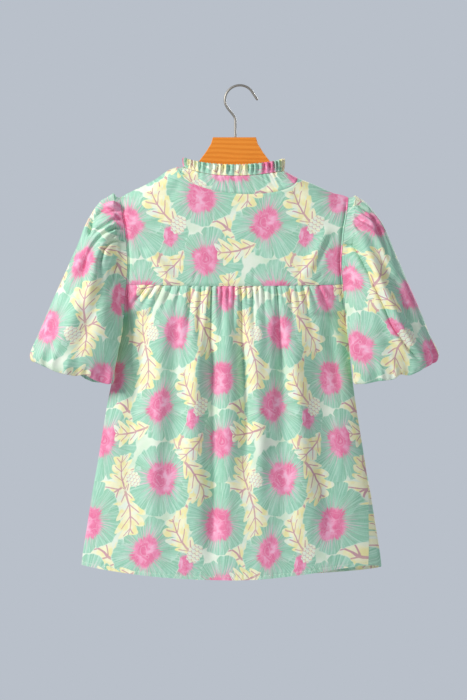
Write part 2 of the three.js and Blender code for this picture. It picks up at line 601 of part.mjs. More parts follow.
function sleeveFoldHeight(angle, t) {
  let height = 0;
  for (const fold of SLEEVE_FOLDS) {
    const along = (t - fold.start) / (fold.end - fold.start);
    const away = angle - fold.angle - fold.drift * along;
    const fade = smooth(0, 0.25, along) * (1 - smooth(0.7, 1, along));
    height += fold.height * fade * Math.exp(-((away / fold.spread) ** 2));
  }
  return height;
}

// One point of the left sleeve, t from the armhole (0) to the full edge (1) and on under it.
function sleevePoint(column, t) {
  const seamAngle = armhole.angles[column];
  const even = (360 * column) / SLEEVE_COLUMNS;
  const signed = (angle) => (angle > 180 ? angle - 360 : angle);
  if (t === 0) return armholePoint(signed(seamAngle));
  const angle = signed(mix(seamAngle, even, smooth(0, 0.4, t)));
  const row = sleeveRow(t);
  const { point, outward } = armRing(row, angle);
  const fromShoulder = Math.abs(signed(even)) * (armhole.perimeter / 360);
  const nearShoulder = 1 - smooth(HEAD_GATHER_REACH - 12, HEAD_GATHER_REACH, fromShoulder);
  const head = nearShoulder * (1 - smooth(0.14, 0.5, t));
  const rim = smooth(0.7, 1, t) * (1 - 0.85 * smooth(1, TURNED_EDGE, t));
  const headGather = (column % 2 ? -1 : 1) * 1.7 * head;
  const rimGather = WAVE[column % 4] * 2.4 * rim * (1 + 0.4 * Math.sin(column * 0.7));
  point.addScaledVector(outward, headGather + rimGather + sleeveFoldHeight(angle, t));
  point.x -= row.lap * Math.exp(-(((angle - LAP_ANGLE) / LAP_SPREAD) ** 2));
  return point;
}

const mirrorX = (grid, side) => grid.map((row) => row.map((point) => point.setX(side * point.x)));

const sleeveColumns = Array.from({ length: SLEEVE_COLUMNS }, (_, i) => i);

// Up the arm, square to the gathered edge.
function cuffAxis() {
  const row = sleeveRow(TURNED_EDGE);
  return new THREE.Vector3(row.inZ - row.outZ, 0, row.outX - row.inX).normalize();
}

function sleeve(name, side) {
  const rows = [0, 0.05, 0.14, 0.28, 0.45, 0.65, 0.85, 1, 1.1, TURNED_EDGE];
  const grid = mirrorX(rows.map((t) => sleeveColumns.map((column) => sleevePoint(column, t))), side);
  const intoCuff = (i) => {
    const point = sleevePoint(i, TURNED_EDGE).addScaledVector(cuffAxis(), CUFF_HEIGHT / 2);
    return point.setX(side * point.x);
  };
  return wall(name, grid, CLOTH, printedCotton, {
    ring: true, past: { bottom: intoCuff }, flatten: (j) => (j === 0 ? "x" : ""),
  });
}

// The narrow elastic casing that holds the sleeve's gathered edge from inside.
function cuff(name, side) {
  const axis = cuffAxis();
  const rows = [SEAM_GAP, CUFF_HEIGHT / 2, CUFF_HEIGHT];
  const raised = (i, rise) => sleevePoint(i, TURNED_EDGE).addScaledVector(axis, rise);
  const grid = rows.map((rise) => sleeveColumns.map((i) => raised(i, rise)));
  const beforeSeam = (i) => {
    const point = sleevePoint(i, 1.1);
    return point.setX(side * point.x);
  };
  return wall(name, mirrorX(grid, side), CLOTH, printedCotton, { ring: true, past: { top: beforeSeam } });
}

// Hanger

// Whether the cloth at x has room for the wood's upper edge and the corner below its bevel.
function hasRoom(x, z) {
  const inner = CLOTH / 2 + WOOD_CLEARANCE;
  const roomAt = (height) => Math.abs(bodyPoint(angleAcross(x / halfWidth(height)), height).y) - inner;
  return roomAt(z) >= WOOD.thickness / 2 - WOOD.bevel && roomAt(z - WOOD.bevel) >= WOOD.thickness / 2;
}

// The highest place where the wood fits under the cloth on both shoulders.
function armTop(x) {
  let z = Math.min(shoulderZ(x), shoulderZ(-x));
  while (!hasRoom(x, z) || !hasRoom(-x, z)) z -= 0.2;
  return z;
}

function hangerWood() {
  const topEdge = [...WOOD_NECK, ...WOOD_ARM_X.map((x) => ({ x, z: armTop(x) }))];
  const tip = topEdge[topEdge.length - 1];
  const underside = [
    { x: WOOD.reach + 4, z: tip.z - 0.5 * WOOD.tipHeight },
    { x: WOOD.reach - 2, z: tip.z - WOOD.tipHeight },
    { x: 110, z: armTop(110) - WOOD.armHeight },
    { x: 55, z: -158 },
    { x: 0, z: -150 },
  ];
  const halfOutline = [...topEdge, ...underside];
  const mirrored = [...halfOutline].reverse().slice(1).map(({ x, z }) => ({ x: -x, z }));
  const inset = WOOD.bevel * 0.5;
  const outline = [...halfOutline, ...mirrored].map(({ x, z }) => new THREE.Vector2(x, z));
  const geometry = new THREE.ExtrudeGeometry(new THREE.Shape(outline), {
    depth: WOOD.thickness - 2 * WOOD.bevel, bevelEnabled: true, bevelThickness: WOOD.bevel,
    bevelSize: inset, bevelOffset: -inset, bevelSegments: 1, curveSegments: 1,
  });
  const mesh = new THREE.Mesh(geometry, wood);
  mesh.name = "hanger_wood";
  mesh.rotation.x = Math.PI / 2;
  mesh.position.y = WOOD.thickness / 2 - WOOD.bevel;
  return mesh;
}

// The wire's middle line, from its seat in the wood up to the open end.
function hookCurve() {
  const reach = HOOK.radius + HOOK.wire / 2;
  const arcTop = HOOK.wire / 2;
  const centre = { x: 0, z: arcTop - reach };
  const path = new THREE.CurvePath();
  const at = (x, z) => new THREE.Vector3(x, 0, z);
  const stemTop = at(STEM_X, -54);
  const arcStart = at(reach, centre.z);
  path.add(new THREE.LineCurve3(at(STEM_X, HOOK.seat + SEAM_GAP), stemTop));
  path.add(new THREE.CubicBezierCurve3(stemTop, at(STEM_X, -44), at(reach, centre.z - 14), arcStart));
  const arcPoints = steps(14).map((f) => {
    const angle = radians(mix(0, 140, f));
    return at(centre.x + reach * Math.cos(angle), centre.z + reach * Math.sin(angle));
  });
  path.add(new THREE.CatmullRomCurve3(arcPoints, false, "centripetal"));
  const arcEnd = arcPoints[arcPoints.length - 1];
  path.add(new THREE.LineCurve3(arcEnd, arcEnd.clone().add(at(-9.1, -13.8))));
  return path;
}

function hangerHook() {
  const section = new THREE.Shape(
    steps(HOOK.sides).slice(0, -1).map((f) => {
      const angle = 2 * Math.PI * f;
      return new THREE.Vector2((HOOK.wire / 2) * Math.cos(angle), (HOOK.wire / 2) * Math.sin(angle));
    }),
  );
  const geometry = new THREE.ExtrudeGeometry(section, { steps: 34, extrudePath: hookCurve() });
  const mesh = new THREE.Mesh(geometry, steel);
  mesh.name = "hanger_hook";
  return mesh;
}

// The whole part

const blouse = new THREE.Group();
blouse.position.x = BLOUSE_X;
blouse.add(backYoke(), backPanel(), ...frontPanels(), neckBand(), neckRuffle());
blouse.add(sleeve("sleeve_left", 1), sleeve("sleeve_right", -1));
blouse.add(cuff("cuff_left", 1), cuff("cuff_right", -1));
blouse.add(hangerWood());

const part = new THREE.Group();
part.add(blouse, hangerHook());

export default part;
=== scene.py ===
"""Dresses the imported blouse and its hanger: printed cotton with its gathers and ruffle, wood and wire.

Sizes in this file are millimetres and angles are degrees unless a name says otherwise; Blender gets
metres. The front of the blouse faces -Y, +Z is up and the wearer's left is +X. The origin is the
inside top of the hook. The forms repeat those of the part's source, with finer folds.
"""

import logging
import math
from dataclasses import dataclass, field
from enum import Enum
from typing import Sequence, Union

import bpy
import numpy as np
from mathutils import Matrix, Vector


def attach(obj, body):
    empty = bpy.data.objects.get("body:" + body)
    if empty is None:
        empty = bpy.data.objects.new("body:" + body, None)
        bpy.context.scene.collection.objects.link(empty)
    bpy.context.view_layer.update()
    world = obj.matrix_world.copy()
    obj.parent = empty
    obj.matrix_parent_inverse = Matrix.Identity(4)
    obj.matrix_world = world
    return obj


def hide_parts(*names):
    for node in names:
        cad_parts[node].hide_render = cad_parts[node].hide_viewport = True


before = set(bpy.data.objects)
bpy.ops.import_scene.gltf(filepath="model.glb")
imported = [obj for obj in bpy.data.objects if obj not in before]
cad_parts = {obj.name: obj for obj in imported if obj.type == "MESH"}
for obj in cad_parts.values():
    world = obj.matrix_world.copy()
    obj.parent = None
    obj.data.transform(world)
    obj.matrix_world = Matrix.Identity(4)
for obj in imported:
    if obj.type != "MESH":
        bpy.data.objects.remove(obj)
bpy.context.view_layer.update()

Array = np.ndarray
Number = Union[float, Array]
Colour = tuple[float, float, float, float]

METRE = 0.001
BODY = "root"
CUT_MAP = "cut"
WIRE_MAP_LENGTH = 120.0
WHITE = (1.0, 1.0, 1.0, 1.0)
LOG = logging.getLogger("blouse")


# Small helpers


def smooth(start: float, end: float, value: Number) -> Array:
    """Eases from 0 at start to 1 at end.

    Args:
        start: value where the result leaves 0.
        end: value where the result reaches 1.
        value: the values to ease.

    Returns:
        The eased values, of value's shape.
    """
    part = np.clip((np.asarray(value, float) - start) / (end - start), 0.0, 1.0)
    return part * part * (3.0 - 2.0 * part)


def mix(first: Number, second: Number, share: Number) -> Array:
    """Returns the value a share of the way from first to second."""
    return np.asarray(first, float) + (np.asarray(second, float) - first) * share


def sin_deg(angle: Number) -> Array:
    """Returns the sine of an angle in degrees."""
    return np.sin(np.radians(angle))


def cos_deg(angle: Number) -> Array:
    """Returns the cosine of an angle in degrees."""
    return np.cos(np.radians(angle))


def bump(distance: Number, width: float) -> Array:
    """Returns a soft hump, 1 at no distance and gone at about two widths."""
    return np.exp(-((np.asarray(distance) / width) ** 2))


def unit(vectors: Array) -> Array:
    """Returns the vectors along the last axis, each with length 1."""
    length = np.linalg.norm(vectors, axis=-1, keepdims=True)
    return vectors / np.maximum(length, 1e-9)


def stack(x: Number, y: Number, z: Number) -> Array:
    """Returns points from three coordinates of one shape."""
    return np.stack(np.broadcast_arrays(x, y, z), axis=-1).astype(float)


def linear(hex_code: str) -> Colour:
    """Turns a colour as a screen shows it into the one that a shader needs.

    Args:
        hex_code: six hexadecimal digits.

    Returns:
        Linear red, green and blue, and an alpha of 1.
    """
    parts = [int(hex_code[i:i + 2], 16) / 255 for i in (0, 2, 4)]
    return tuple(p / 12.92 if p < 0.04045 else ((p + 0.055) / 1.055) ** 2.4 for p in parts) + (1.0,)


class Profile:
    """A smooth curve through a few rows that never overshoots them."""

    def __init__(self, *rows: tuple[float, float]) -> None:
        """Keeps the rows.

        Args:
            rows: pairs of place and value, in any order.
        """
        ordered = np.array(sorted(rows), float)
        self.places, self.values = ordered[:, 0], ordered[:, 1]
        self.spans = np.diff(self.places)
        slopes = np.diff(self.values) / self.spans
        self.tangents = np.empty(len(ordered))
        self.tangents[0], self.tangents[-1] = slopes[0], slopes[-1]
        product = slopes[:-1] * slopes[1:]
        total = np.where(product > 0, slopes[:-1] + slopes[1:], 1.0)
        self.tangents[1:-1] = np.where(product > 0, 2 * product / total, 0.0)

    def __call__(self, place: Number) -> Array:
        """Reads the curve.

        Args:
            place: places, held between the outermost rows.

        Returns:
            The curve's values there.
        """
        at = np.clip(place, self.places[0], self.places[-1])
        k = np.clip(np.searchsorted(self.places, at, side="right") - 1, 0, len(self.spans) - 1)
        f = (at - self.places[k]) / self.spans[k]
        ease = f * f * (3 - 2 * f)
        lean = (1 - f) * self.tangents[k] - f * self.tangents[k + 1]
        rise = self.values[k + 1] - self.values[k]
        return self.values[k] + rise * ease + self.spans[k] * f * (1 - f) * lean


@dataclass(frozen=True)
class Ripple:
    """The slight unevenness of cloth that has been worn and pressed."""

    seed: int
    depth: float = 0.45
    waves: int = 14
    shortest: float = 16.0
    longest: float = 75.0

    def height(self, across: Number, down: Number) -> Array:
        """Returns the height of the unevenness.

        Args:
            across: distance across the cloth.
            down: distance down the cloth.

        Returns:
            Heights about 0.
        """
        draw = np.random.default_rng(self.seed)
        total = np.zeros(np.broadcast(across, down).shape)
        for _ in range(self.waves):
            length = draw.uniform(self.shortest, self.longest)
            heading = draw.uniform(0, math.pi)
            phase = draw.uniform(0, 2 * math.pi)
            way = np.cos(heading) * across + 0.6 * np.sin(heading) * down
            total += np.sin(2 * math.pi * way / length + phase) * math.sqrt(length / self.longest)
        return total * self.depth / math.sqrt(self.waves)


@dataclass(frozen=True)
class Crease:
    """A crease along a line of points on the cloth, with a soft ridge on either side.

    Lap is how far the cloth on the line's left stands over the rest, as in a fold that lies over.
    """

    line: tuple[tuple[float, float], ...]
    width: float
    depth: float
    ridge: float = 0.35
    fade_in: float = 0.15
    fade_out: float = 0.45
    lap: float = 0.0
    lap_reach: float = 14.0

    def height(self, x: Array, z: Array) -> Array:
        """Returns how far the crease moves the cloth out.

        Args:
            x: sideways places of the cloth.
            z: heights of the cloth.

        Returns:
            Heights, below 0 in the crease.
        """
        corners = np.array(self.line, float)
        lengths = np.linalg.norm(np.diff(corners, axis=0), axis=1)
        before = np.concatenate([[0.0], np.cumsum(lengths)])
        nearest = np.full(x.shape, np.inf)
        along = np.zeros(x.shape)
        left = np.zeros(x.shape)
        for k, length in enumerate(lengths):
            way = (corners[k + 1] - corners[k]) / length
            run = (x - corners[k, 0]) * way[0] + (z - corners[k, 1]) * way[1]
            held = np.clip(run, 0, length)
            gap = np.hypot(x - corners[k, 0] - held * way[0], z - corners[k, 1] - held * way[1])
            closer = gap < nearest
            aside = (z - corners[k, 1]) * way[0] - (x - corners[k, 0]) * way[1]
            left = np.where(closer, aside, left)
            nearest = np.where(closer, gap, nearest)
            along = np.where(closer, (before[k] + held) / before[-1], along)
        fade = smooth(0, self.fade_in, along) * (1 - smooth(1 - self.fade_out, 1, along))
        wide = self.width * (1 + 0.8 * along)
        ridges = self.ridge * np.exp(-(((nearest - 2 * wide) / (1.3 * wide)) ** 2))
        over = smooth(-0.4, 0.9, left / self.width) * np.exp(-np.maximum(left, 0) / self.lap_reach)
        relief = self.depth * (ridges - np.exp(-((nearest / wide) ** 2))) + self.lap * over
        return fade * np.where(nearest < 5 * self.lap_reach, relief, 0.0)


def total_height(creases: Sequence[Crease], x: Array, z: Array) -> Array:
    """Sums the heights of several creases.

    Args:
        creases: the creases.
        x: sideways places of the cloth.
        z: heights of the cloth.

    Returns:
        Heights out from the cloth.
    """
    total = np.zeros(np.broadcast(x, z).shape)
    for crease in creases:
        total += crease.height(x, z)
    return total


# Meshes


@dataclass
class ClothGrid:
    """The middle surface of a piece of cloth, and where each point lay in the flat cut."""

    points: Array
    cut_across: Array
    cut_down: Array
    ring: bool = False

    def normals(self) -> Array:
        """Finds the way out from the cloth.

        Returns:
            The unit normal at each point.
        """
        if self.ring:
            across = np.roll(self.points, -1, 1) - np.roll(self.points, 1, 1)
        else:
            across = np.gradient(self.points, axis=1)
        return unit(np.cross(across, np.gradient(self.points, axis=0)))


def grid_quads(rows: int, columns: int, ring: bool) -> tuple[Array, Array]:
    """Lists the faces of a grid.

    Args:
        rows: number of rows.
        columns: number of columns.
        ring: whether the last column joins the first.

    Returns:
        Corner numbers of each face, and the same with a column of its own after the last one.
    """
    j, i = np.meshgrid(np.arange(rows - 1), np.arange(columns if ring else columns - 1), indexing="ij")
    j, i = j.ravel(), i.ravel()
    corners = [(j, i), (j, i + 1), (j + 1, i + 1), (j + 1, i)]
    points = np.stack([row * columns + column % columns for row, column in corners], axis=1)
    cut = np.stack([row * (columns + 1) + column for row, column in corners], axis=1)
    return points, cut


def mesh_object(name: str, points: Array, faces: Array, cut: Array, sharp: float = 55.0) -> bpy.types.Object:
    """Makes a mesh object with its place in the flat cut as a UV map.

    Args:
        name: the object's name.
        points: vertices in millimetres.
        faces: corner numbers of each face.
        cut: across and down in the flat cut, one pair per face corner, in millimetres.
        sharp: edges that turn by more than this angle stay sharp.

    Returns:
        The new object, in the scene.
    """
    a, b, c, d = (points[faces[:, k]] for k in range(4))
    volume = (np.einsum("ij,ij->i", a, np.cross(b, c)) + np.einsum("ij,ij->i", a, np.cross(c, d))).sum()
    if volume < 0:
        faces = faces[:, ::-1]
        cut = cut[:, ::-1]
    mesh = bpy.data.meshes.new(name)
    mesh.from_pydata((points * METRE).tolist(), [], faces.tolist())
    layer = mesh.uv_layers.new(name=CUT_MAP)
    layer.data.foreach_set("uv", (cut.reshape(-1, 2) * METRE).ravel().astype(np.float32))
    mesh.shade_smooth()
    mesh.set_sharp_from_angle(angle=math.radians(sharp))
    piece = bpy.data.objects.new(name, mesh)
    bpy.context.scene.collection.objects.link(piece)
    return piece


def cloth_object(name: str, grid: ClothGrid, thickness: float) -> bpy.types.Object:
    """Closes a cloth's middle surface into a thin sheet with a turned rim.

    Args:
        name: the object's name.
        grid: the middle surface.
        thickness: the cloth's thickness.

    Returns:
        The new object.
    """
    rows, columns = grid.points.shape[:2]
    normals = grid.normals()
    half = thickness / 2
    outer = (grid.points + normals * half).reshape(-1, 3)
    inner = (grid.points - normals * half).reshape(-1, 3)
    faces, cut_faces = grid_quads(rows, columns, grid.ring)
    count = rows * columns
    all_faces = [faces, faces[:, ::-1] + count]
    all_cut = [cut_faces, cut_faces[:, ::-1]]
    last = columns if grid.ring else columns - 1
    i = np.arange(last)
    for row, way in ((0, 1), (rows - 1, -1)):
        a, b = row * columns + i, row * columns + (i + 1) % columns
        ca, cb = row * (columns + 1) + i, row * (columns + 1) + i + 1
        all_faces.append(np.stack([b, a, a + count, b + count], axis=1)[:, ::way])
        all_cut.append(np.stack([cb, ca, ca, cb], axis=1)[:, ::way])
    if not grid.ring:
        j = np.arange(rows - 1)
        for column, way in ((0, 1), (columns - 1, -1)):
            a, b = j * columns + column, (j + 1) * columns + column
            ca, cb = j * (columns + 1) + column, (j + 1) * (columns + 1) + column
            all_faces.append(np.stack([a, b, b + count, a + count], axis=1)[:, ::way])
            all_cut.append(np.stack([ca, cb, cb, ca], axis=1)[:, ::way])
    across = np.empty((rows, columns + 1))
    down = np.empty((rows, columns + 1))
    for full, part in ((across, grid.cut_across), (down, grid.cut_down)):
        full[:, :part.shape[1]] = part
        full[:, part.shape[1]:] = part[:, -1:]
    cut_places = np.stack([across.ravel(), down.ravel()], axis=1)
    corner_cut = cut_places[np.concatenate(all_cut)]
    return mesh_object(name, np.concatenate([outer, inner]), np.concatenate(all_faces), corner_cut)


def tube_object(name: str, path: Array, radius: float, sides: int) -> bpy.types.Object:
    """Makes a round wire along a path in the XZ plane, with rounded ends.

    Args:
        name: the object's name.
        path: points of the wire's middle line.
        radius: the wire's radius.
        sides: sides of its section.

    Returns:
        The new object.
    """
    ahead = unit(np.gradient(path, axis=0))
    side = np.array([0.0, 1.0, 0.0])
    turns = np.linspace(0, 2 * math.pi, sides, endpoint=False)
    caps = np.linspace(0, math.pi / 2, 7)[:-1]
    rings = []
    for k, (at, way) in enumerate(zip(path, ahead)):
        up = np.cross(way, side)
        across = np.outer(np.cos(turns), side) + np.outer(np.sin(turns), up)
        ends = [(math.sin(c), -math.cos(c)) for c in caps] if k == 0 else []
        ends += [(1.0, 0.0)]
        ends += [(math.cos(c), math.sin(c)) for c in caps[1:]] + [(0.02, 1.0)] if k == len(path) - 1 else []
        rings += [at + across * radius * wide + way * radius * on for wide, on in ends]
    points = np.array(rings)
    faces, cut_faces = grid_quads(len(rings), sides, True)
    length = np.linspace(0, 1, len(rings))[:, None] * WIRE_MAP_LENGTH * np.ones((1, sides + 1))
    around = np.linspace(0, 2 * math.pi * radius, sides + 1)[None, :] * np.ones((len(rings), 1))
    places = np.stack([around.ravel(), length.ravel()], axis=1)
    return mesh_object(name, points.reshape(-1, 3), faces, places[cut_faces])


# The hanging form


class Side(Enum):
    """Which half of the body a piece belongs to."""

    BACK = 1
    FRONT = -1


class Hand(Enum):
    """The wearer's left or right."""

    LEFT = 1
    RIGHT = -1


@dataclass(frozen=True)
class Fold:
    """A broad soft fold of the hanging body; a height below 0 is a trough."""

    side: Side
    top: tuple[float, float]
    foot: tuple[float, float]
    width: float
    height: float


@dataclass
class BodyForm:
    """The outline, depth and broad folds of the blouse's body as it hangs."""

    shift: float = 8.5
    roll: float = 22.0
    armhole_top: float = -178.0
    armhole_foot: float = -365.0
    armhole_half_depth: float = 22.0
    groove_depth: float = 3.6
    groove_inset: float = 3.0
    groove_width: float = 2.0
    shoulder: Profile = field(default_factory=lambda: Profile(
        (-182, -178), (-172, -174), (-160, -171.5), (-130, -158.5), (-111, -151), (-101, -147),
        (-80, -138), (-40, -122), (0, -112), (40, -112), (70, -120), (92, -129.5), (106, -134.5),
        (125, -148), (145, -159), (160, -166), (172, -172), (182, -178)))
    half: Profile = field(default_factory=lambda: Profile(
        (-800, 243), (-751, 238), (-700, 230), (-649, 222), (-598, 213), (-521, 200.5), (-470, 192),
        (-418, 184.5), (-365, 177), (-318, 172.3), (-284, 170), (-250, 172.3), (-228, 174.6),
        (-210, 178), (-178, 182)))
    middle: Profile = field(default_factory=lambda: Profile(
        (-800, 5), (-521, 5), (-470, 3.5), (-418, 1.5), (-365, 0), (-178, 0)))
    back_depth: Profile = field(default_factory=lambda: Profile(
        (-800, 40), (-640, 38), (-500, 36), (-400, 33), (-320, 30), (-250, 25), (-183, 22), (-110, 21)))
    front_depth: Profile = field(default_factory=lambda: Profile(
        (-800, 36), (-640, 35), (-500, 34), (-400, 32), (-320, 30), (-250, 28), (-183, 25), (-110, 22)))
    side_swing: Profile = field(default_factory=lambda: Profile(
        (-800, 62), (-700, 72), (-560, 90), (-300, 90)))
    folds: tuple[Fold, ...] = (
        Fold(Side.BACK, (116, -345), (128, -760), 13, 6.8),
        Fold(Side.BACK, (90, -350), (98, -700), 11, -5.4),
        Fold(Side.BACK, (66, -340), (74, -700), 12, 7.4),
        Fold(Side.BACK, (34, -345), (33, -770), 10, -8.1),
        Fold(Side.BACK, (12, -345), (8, -680), 12, 5.4),
        Fold(Side.BACK, (-10, -345), (-20, -620), 9, -8.1),
        Fold(Side.BACK, (-34, -345), (-44, -740), 13, 6.8),
        Fold(Side.BACK, (-68, -345), (-80, -680), 10, -6.1),
        Fold(Side.BACK, (-96, -350), (-112, -760), 14, 6.8),
        Fold(Side.BACK, (-136, -380), (-160, -700), 14, -5.4),
        Fold(Side.BACK, (150, -395), (176, -720), 14, -5.4),
        Fold(Side.BACK, (140, -258), (98, -312), 9, 4.7),
        Fold(Side.BACK, (-150, -222), (-112, -312), 9, 4.7),
        Fold(Side.FRONT, (120, -330), (138, -760), 16, 6.8),
        Fold(Side.FRONT, (62, -260), (76, -700), 15, -6.8),
        Fold(Side.FRONT, (18, -250), (14, -760), 16, 6.8),
        Fold(Side.FRONT, (-48, -260), (-58, -700), 15, -6.8),
        Fold(Side.FRONT, (-106, -330), (-128, -760), 16, 6.8),
    )

    def armhole_depth(self, z: Array) -> Array:
        """Measures how far the armhole's edge stands off the middle plane.

        Args:
            z: heights.

        Returns:
            Distances, 0 at the armhole's top and foot.
        """
        centre = (self.armhole_top + self.armhole_foot) / 2
        reach = (z - centre) / ((self.armhole_top - self.armhole_foot) / 2)
        return self.armhole_half_depth * np.sqrt(np.maximum(0, 1 - reach * reach))

    def armhole_groove(self, points: Array) -> Array:
        """Measures how deep the cloth is drawn in along the armhole seams.

        Args:
            points: points of the body.

        Returns:
            The depth at each point.
        """
        x, z = points[..., 0], points[..., 2]
        inside = self.half(z) - np.abs(x - self.middle(z))
        above_foot = smooth(self.armhole_foot, self.armhole_foot + 25, z)
        below_top = 1 - smooth(self.armhole_top - 20, self.armhole_top, z)
        groove = self.groove_depth * bump(inside - self.groove_inset, self.groove_width)
        return groove * above_foot * below_top

    def roll_over(self, x: Array, z: Array) -> Array:
        """Returns 0 on the shoulder line and 1 below the turn of the cloth."""
        drop = np.clip(self.shoulder(x) - z, 0, self.roll)
        return np.sqrt(1 - (1 - drop / self.roll) ** 2)

    def fold_height(self, side: Array, x: Array, z: Array) -> Array:
        """Returns the height of the broad folds.

        Args:
            side: 1 on the back and -1 on the front.
            x: sideways places.
            z: heights.

        Returns:
            Heights out from the cloth.
        """
        total = np.zeros(x.shape)
        for fold in self.folds:
            along = (z - fold.top[1]) / (fold.foot[1] - fold.top[1])
            line = mix(fold.top[0], fold.foot[0], along)
            spread = fold.width * (1 + 0.5 * np.clip(along, 0, 1))
            fade = smooth(0, 0.22, along) * (1 - smooth(0.62, 1.25, along))
            total += np.where(side == fold.side.value, fold.height * fade * bump(x - line, spread), 0)
        return total

    def across(self, x: Array, z: Array) -> Array:
        """Returns the angle round the body of a sideways place at a height."""
        return np.degrees(np.arcsin(np.clip((x - self.middle(z)) / self.half(z), -1, 1)))

    def point(self, angle: Number, z: Number, at_side: Side, relief: Number = 0.0) -> Array:
        """Returns points of the body's middle surface.

        Args:
            angle: 0 at the middle of the back, 90 at the left side, 180 at the front.
            z: height.
            at_side: the side that a point right at the side seam belongs to.
            relief: further height out from the cloth.

        Returns:
            Points in millimetres, before the whole blouse is shifted.
        """
        angle, z = np.broadcast_arrays(np.asarray(angle, float), np.asarray(z, float))
        turn, facing = sin_deg(angle), cos_deg(angle)
        side = np.where(np.abs(facing) < 1e-6, at_side.value, np.sign(facing))
        x = self.middle(z) + self.half(z) * turn
        depth = np.where(side > 0, self.back_depth(z), self.front_depth(z))
        closing = smooth(-430, -330, z)
        to_side = np.abs(turn) ** mix(2, 4, closing)
        spare = 1 - to_side
        edge = self.armhole_depth(z) * to_side
        fold = (self.fold_height(side, x, z) + relief) * np.minimum(1, spare * 4)
        rolled = depth * self.roll_over(x, z) * spare ** mix(0.6, 1, closing)
        return stack(x, side * (edge + rolled + fold), z)


@dataclass(frozen=True)
class Ring:
    """One ring of the stand collar, by its two ends and its lowest places."""

    x: float
    half_width: float
    left: float
    right: float
    back: float
    front: float
    y_back: float = 0.0
    y_front: float = 0.0

    def end_z(self, x: Array) -> Array:
        """Returns the height at x on the straight line between the ring's two ends."""
        return mix(self.right, self.left, (x - self.x + self.half_width) / (2 * self.half_width))

    def point(self, angle: Number) -> Array:
        """Walks round the ring.

        Args:
            angle: 0 at the middle of the back, 90 at the left shoulder.

        Returns:
            Points of the ring.
        """
        facing = cos_deg(angle)
        x = self.x + self.half_width * sin_deg(angle)
        dip = np.where(facing >= 0, 1.6, 1.0)
        low = np.where(facing >= 0, self.back, self.front)
        z = mix(self.end_z(x), low, np.abs(facing) ** dip)
        y = np.where(facing >= 0, self.y_back, self.y_front) * np.abs(facing) ** 0.6
        return stack(x, y, z)


@dataclass
class NeckForm:
    """The neck seam and the two upper rings of the collar."""

    body: BodyForm
    seam: Ring = Ring(-4.5, 96.5, -129.5, -147, -174, -215)
    stand: Ring = Ring(1, 80, -128.5, -135, -144.5, -187, 20, -26)
    frill: Ring = Ring(1, 79, -115, -116.5, -127, -168, 21.5, -28)
    back_skew: float = 0.07

    def seam_point(self, angle: Number) -> Array:
        """Walks round the neck seam, on the body.

        Args:
            angle: 0 at the middle of the back, 90 at the left shoulder.

        Returns:
            Points of the seam.
        """
        angle = np.asarray(angle, float)
        facing = cos_deg(angle)
        x = self.seam.x + self.seam.half_width * sin_deg(angle)
        low = np.where(facing >= 0, self.seam.back + self.back_skew * (x + 20), self.seam.front)
        z = mix(self.seam.end_z(x), low, np.abs(facing))
        across = self.body.across(x, z)
        points = self.body.point(np.where(facing >= 0, across, 180 - across), z, Side.BACK)
        points[..., 1] = np.where(np.abs(facing) < 0.01, 0, points[..., 1])
        return points


@dataclass
class PanelColumns:
    """Columns of a panel that hangs from the shoulder and neck seams."""

    body: BodyForm
    neck: NeckForm
    on_shoulder: int = 44
    on_neck: int = 168

    def places(self, side: Side) -> tuple[Array, Array]:
        """Lists the columns from the left armhole to the right one.

        Args:
            side: the panel's side.

        Returns:
            Each column's x, and its top height.
        """
        edge = float(self.body.half(self.body.armhole_top))
        ring = self.neck.seam
        left, right = ring.x + ring.half_width, ring.x - ring.half_width
        steps = np.linspace(0, 1, self.on_shoulder + 1)
        angles = 90 * np.cos(math.pi * np.linspace(0, 1, self.on_neck + 1))
        neck = self.neck.seam_point(angles if side is Side.BACK else 180 - angles)
        x = np.concatenate([mix(edge, left, steps[:-1]), neck[:, 0], mix(right, -edge, steps[1:])])
        top = np.concatenate([
            self.body.shoulder(x[:self.on_shoulder]), neck[:, 2],
            self.body.shoulder(x[-self.on_shoulder:])])
        return x, top


@dataclass(frozen=True)
class Rows:
    """The rows down a panel, closest at its top and foot; a share is that stretch's part of the length."""

    top: int
    top_share: float
    middle: int
    foot: int
    foot_share: float

    def spaced(self) -> Array:
        """Spaces the rows.

        Returns:
            Shares of the length, from 0 to 1, one to a row.
        """
        top = self.top_share * np.linspace(0, 1, self.top) ** 2
        middle = np.linspace(self.top_share, 1 - self.foot_share, self.middle + 1)[1:]
        foot = np.linspace(1 - self.foot_share, 1, self.foot + 1)[1:]
        return np.concatenate([top, middle, foot])[:, None]


# Finishes


class Signal:
    """A value in a shader that can be added, multiplied and shaped."""

    def __init__(self, bench: "Bench", socket: bpy.types.NodeSocket) -> None:
        """Keeps the bench and the socket that the value comes out of."""
        self.bench = bench
        self.socket = socket

    def __add__(self, other: "Source") -> "Signal":
        """Adds."""
        return self.bench.math("ADD", self, other)

    def __sub__(self, other: "Source") -> "Signal":
        """Subtracts."""
        return self.bench.math("SUBTRACT", self, other)

    def __rsub__(self, other: float) -> "Signal":
        """Subtracts from a number."""
        return self.bench.math("SUBTRACT", other, self)

    def __mul__(self, other: "Source") -> "Signal":
        """Multiplies."""
        return self.bench.math("MULTIPLY", self, other)

    def __truediv__(self, other: "Source") -> "Signal":
        """Divides."""
        return self.bench.math("DIVIDE", self, other)

    def __pow__(self, other: float) -> "Signal":
        """Raises to a power."""
        return self.bench.math("POWER", self, other)

    def __abs__(self) -> "Signal":
        """Drops the sign."""
        return self.bench.math("ABSOLUTE", self)

    __radd__ = __add__
    __rmul__ = __mul__

    def ramp(self, start: float, end: float) -> "Signal":
        """Returns the value eased, from 0 where it is start to 1 where it is end."""
        feeds = {"Value": self, "From Min": start, "From Max": end}
        return self.bench.join("ShaderNodeMapRange", feeds, "Result", interpolation_type="SMOOTHSTEP")


